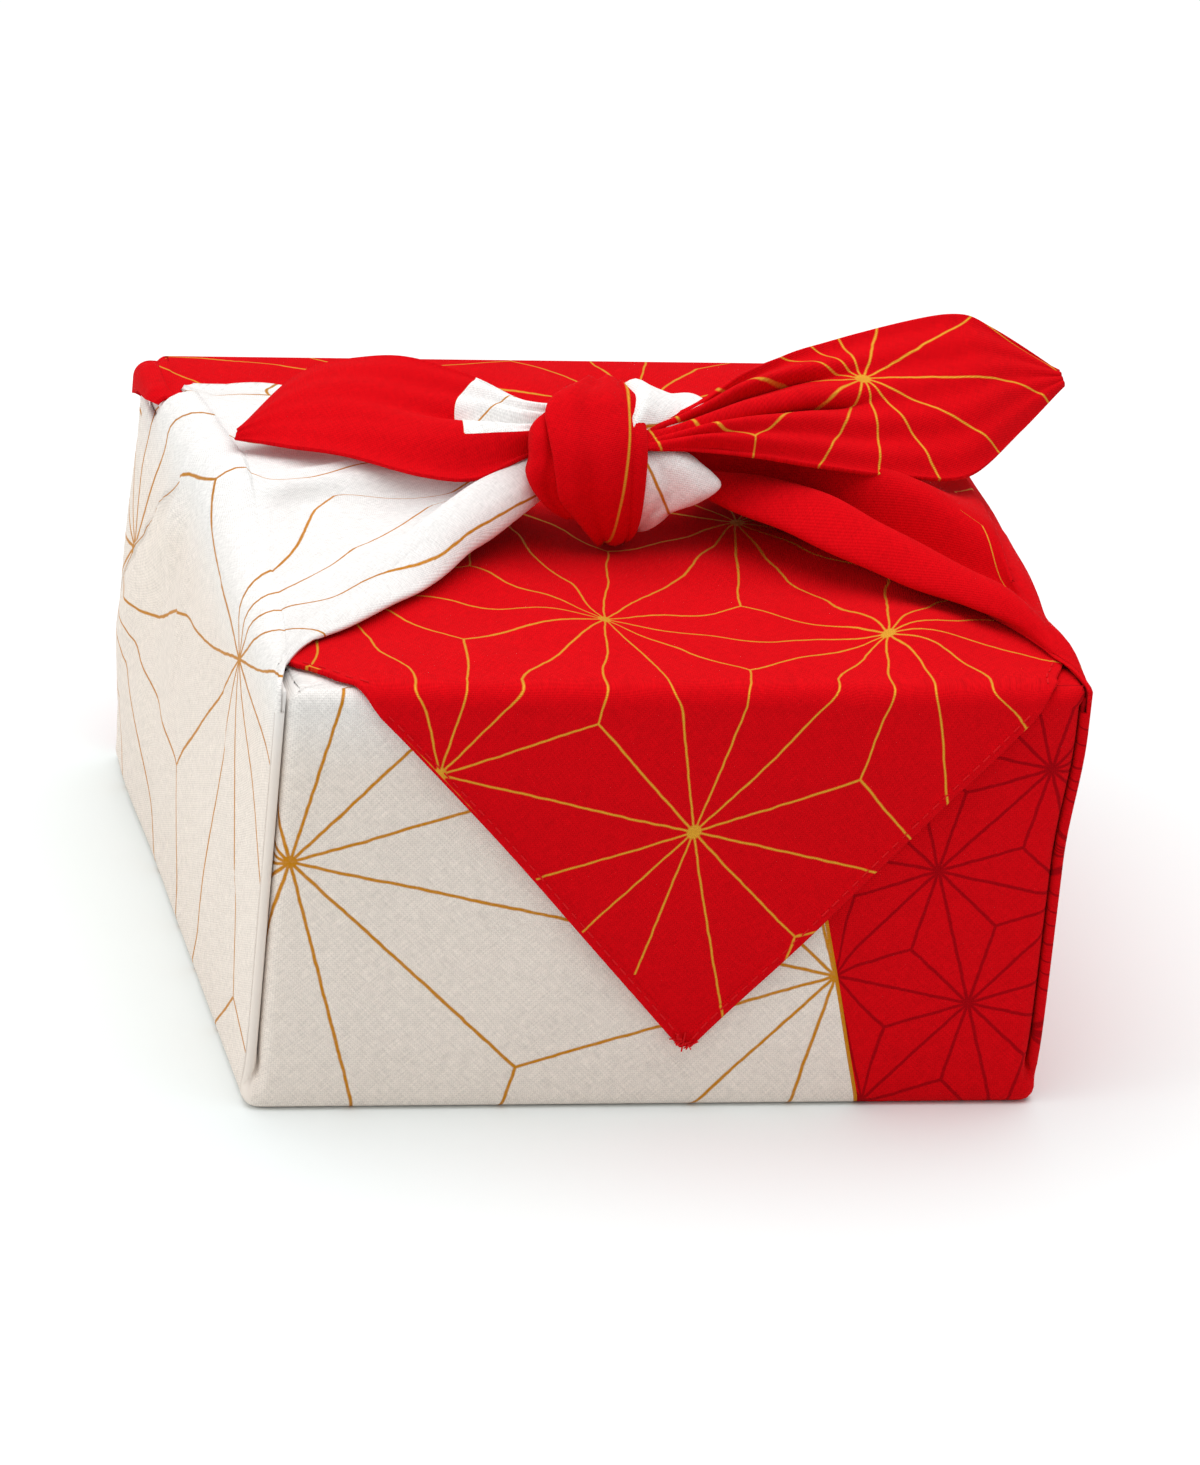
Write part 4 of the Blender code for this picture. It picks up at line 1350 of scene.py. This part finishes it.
def plain_paint(name, colour, roughness, specular):
    """The floor's paint, and the dye of a thread too thin to show more."""
    material = bpy.data.materials.new(name)
    material.use_nodes = True
    shader = material.node_tree.nodes["Principled BSDF"]
    shader.inputs["Base Color"].default_value = colour
    shader.inputs["Roughness"].default_value = roughness
    shader.inputs["Specular IOR Level"].default_value = specular
    return material


def build_stage():
    floor = bpy.data.meshes.new("pale floor")
    floor.from_pydata([(x, y, 0) for x, y in ((-3, -3), (3, -3), (3, 3), (-3, 3))], [], [(0, 1, 2, 3)])
    floor.materials.append(plain_paint("pale floor", FLOOR_PALE, 0.9, 0.1))
    linked("pale_floor", floor)


def aim(obj, place, right, up):
    """Puts a light or the camera at a place, with its own right and up."""
    turn = np.eye(4)
    turn[:3] = np.column_stack([right, up, np.cross(right, up), place])
    obj.matrix_world = Matrix(turn.tolist())


def area_light(name, place, target, size, power):
    data = bpy.data.lights.new(name, "AREA")
    data.shape = "DISK"
    data.size = size
    data.energy = power
    back = np.subtract(place, target)
    back /= np.linalg.norm(back)
    right = np.cross((0, 0, 1), back)
    right /= np.linalg.norm(right)
    aim(linked(name, data), place, right, np.cross(back, right))


def build_light():
    world = bpy.data.worlds.new("soft studio")
    world.use_nodes = True
    sky = world.node_tree.nodes["Background"]
    sky.inputs["Color"].default_value = (1, 0.985, 0.965, 1)
    sky.inputs["Strength"].default_value = 0.47
    bpy.context.scene.world = world
    area_light("overhead", (0.1, 0.15, 1.9), (0.0, 0.0, 0.0), 3.0, 40)
    area_light("left softbox", (-1.9, -0.3, 0.75), (0.0, 0.0, 0.08), 1.4, 10)
    bpy.context.scene.view_settings.view_transform = "Standard"


def build_camera():
    yaw, pitch, roll = (math.radians(angle) for angle in CAMERA_TURN)
    ahead = np.array([math.sin(yaw) * math.cos(pitch), math.cos(yaw) * math.cos(pitch), -math.sin(pitch)])
    level = np.array([math.cos(yaw), -math.sin(yaw), 0.0])
    above = np.cross(level, ahead)
    data = bpy.data.cameras.new("camera")
    data.lens = CAMERA_LENS
    data.sensor_width = 36.0
    data.clip_start = 0.1
    data.clip_end = 20.0
    camera = linked("camera", data)
    right = math.cos(roll) * level + math.sin(roll) * above
    up = math.cos(roll) * above - math.sin(roll) * level
    aim(camera, np.array(CAMERA_TARGET) - ahead * CAMERA_DISTANCE, right, up)
    bpy.context.scene.camera = camera


def build_pieces():
    body, base, hems = build_body()
    wrap = body.piece("furoshiki_cloth_body", base)
    knot = [
        build_left_tail().piece("left_tail"),
        build_right_tail().piece("right_tail"),
        build_red_loop().piece("red_knot_loop", thick=0),
        build_white_loop().piece("white_knot_loop", thick=0),
    ]
    group = thread_group()
    dye = plain_paint("red hem thread", THREAD_RED, 0.85, 0.06)
    stitches = run_threads(group, "hem_stitches", hems, Thread=dye, Seed=3)
    tip = (APRON_TIP[0], *hems[-1][-1, 1:])
    edge = np.linspace((-3.0, 0.2, -0.8), (1.4, 0.2, -2.6), 12) + tip
    frayed = {"Pitch": 0.0004, "Length": 0.0044, "Thickness": 0.00019, "Spread": 1.3}
    fray = run_threads(group, "loose_threads", [edge], Thread=dye, Seed=8, **frayed)
    for piece in [wrap, stitches, fray] + knot:
        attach(piece, "root")
        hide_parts("furoshiki_cloth")


build_camera()
build_stage()
build_light()
build_pieces()
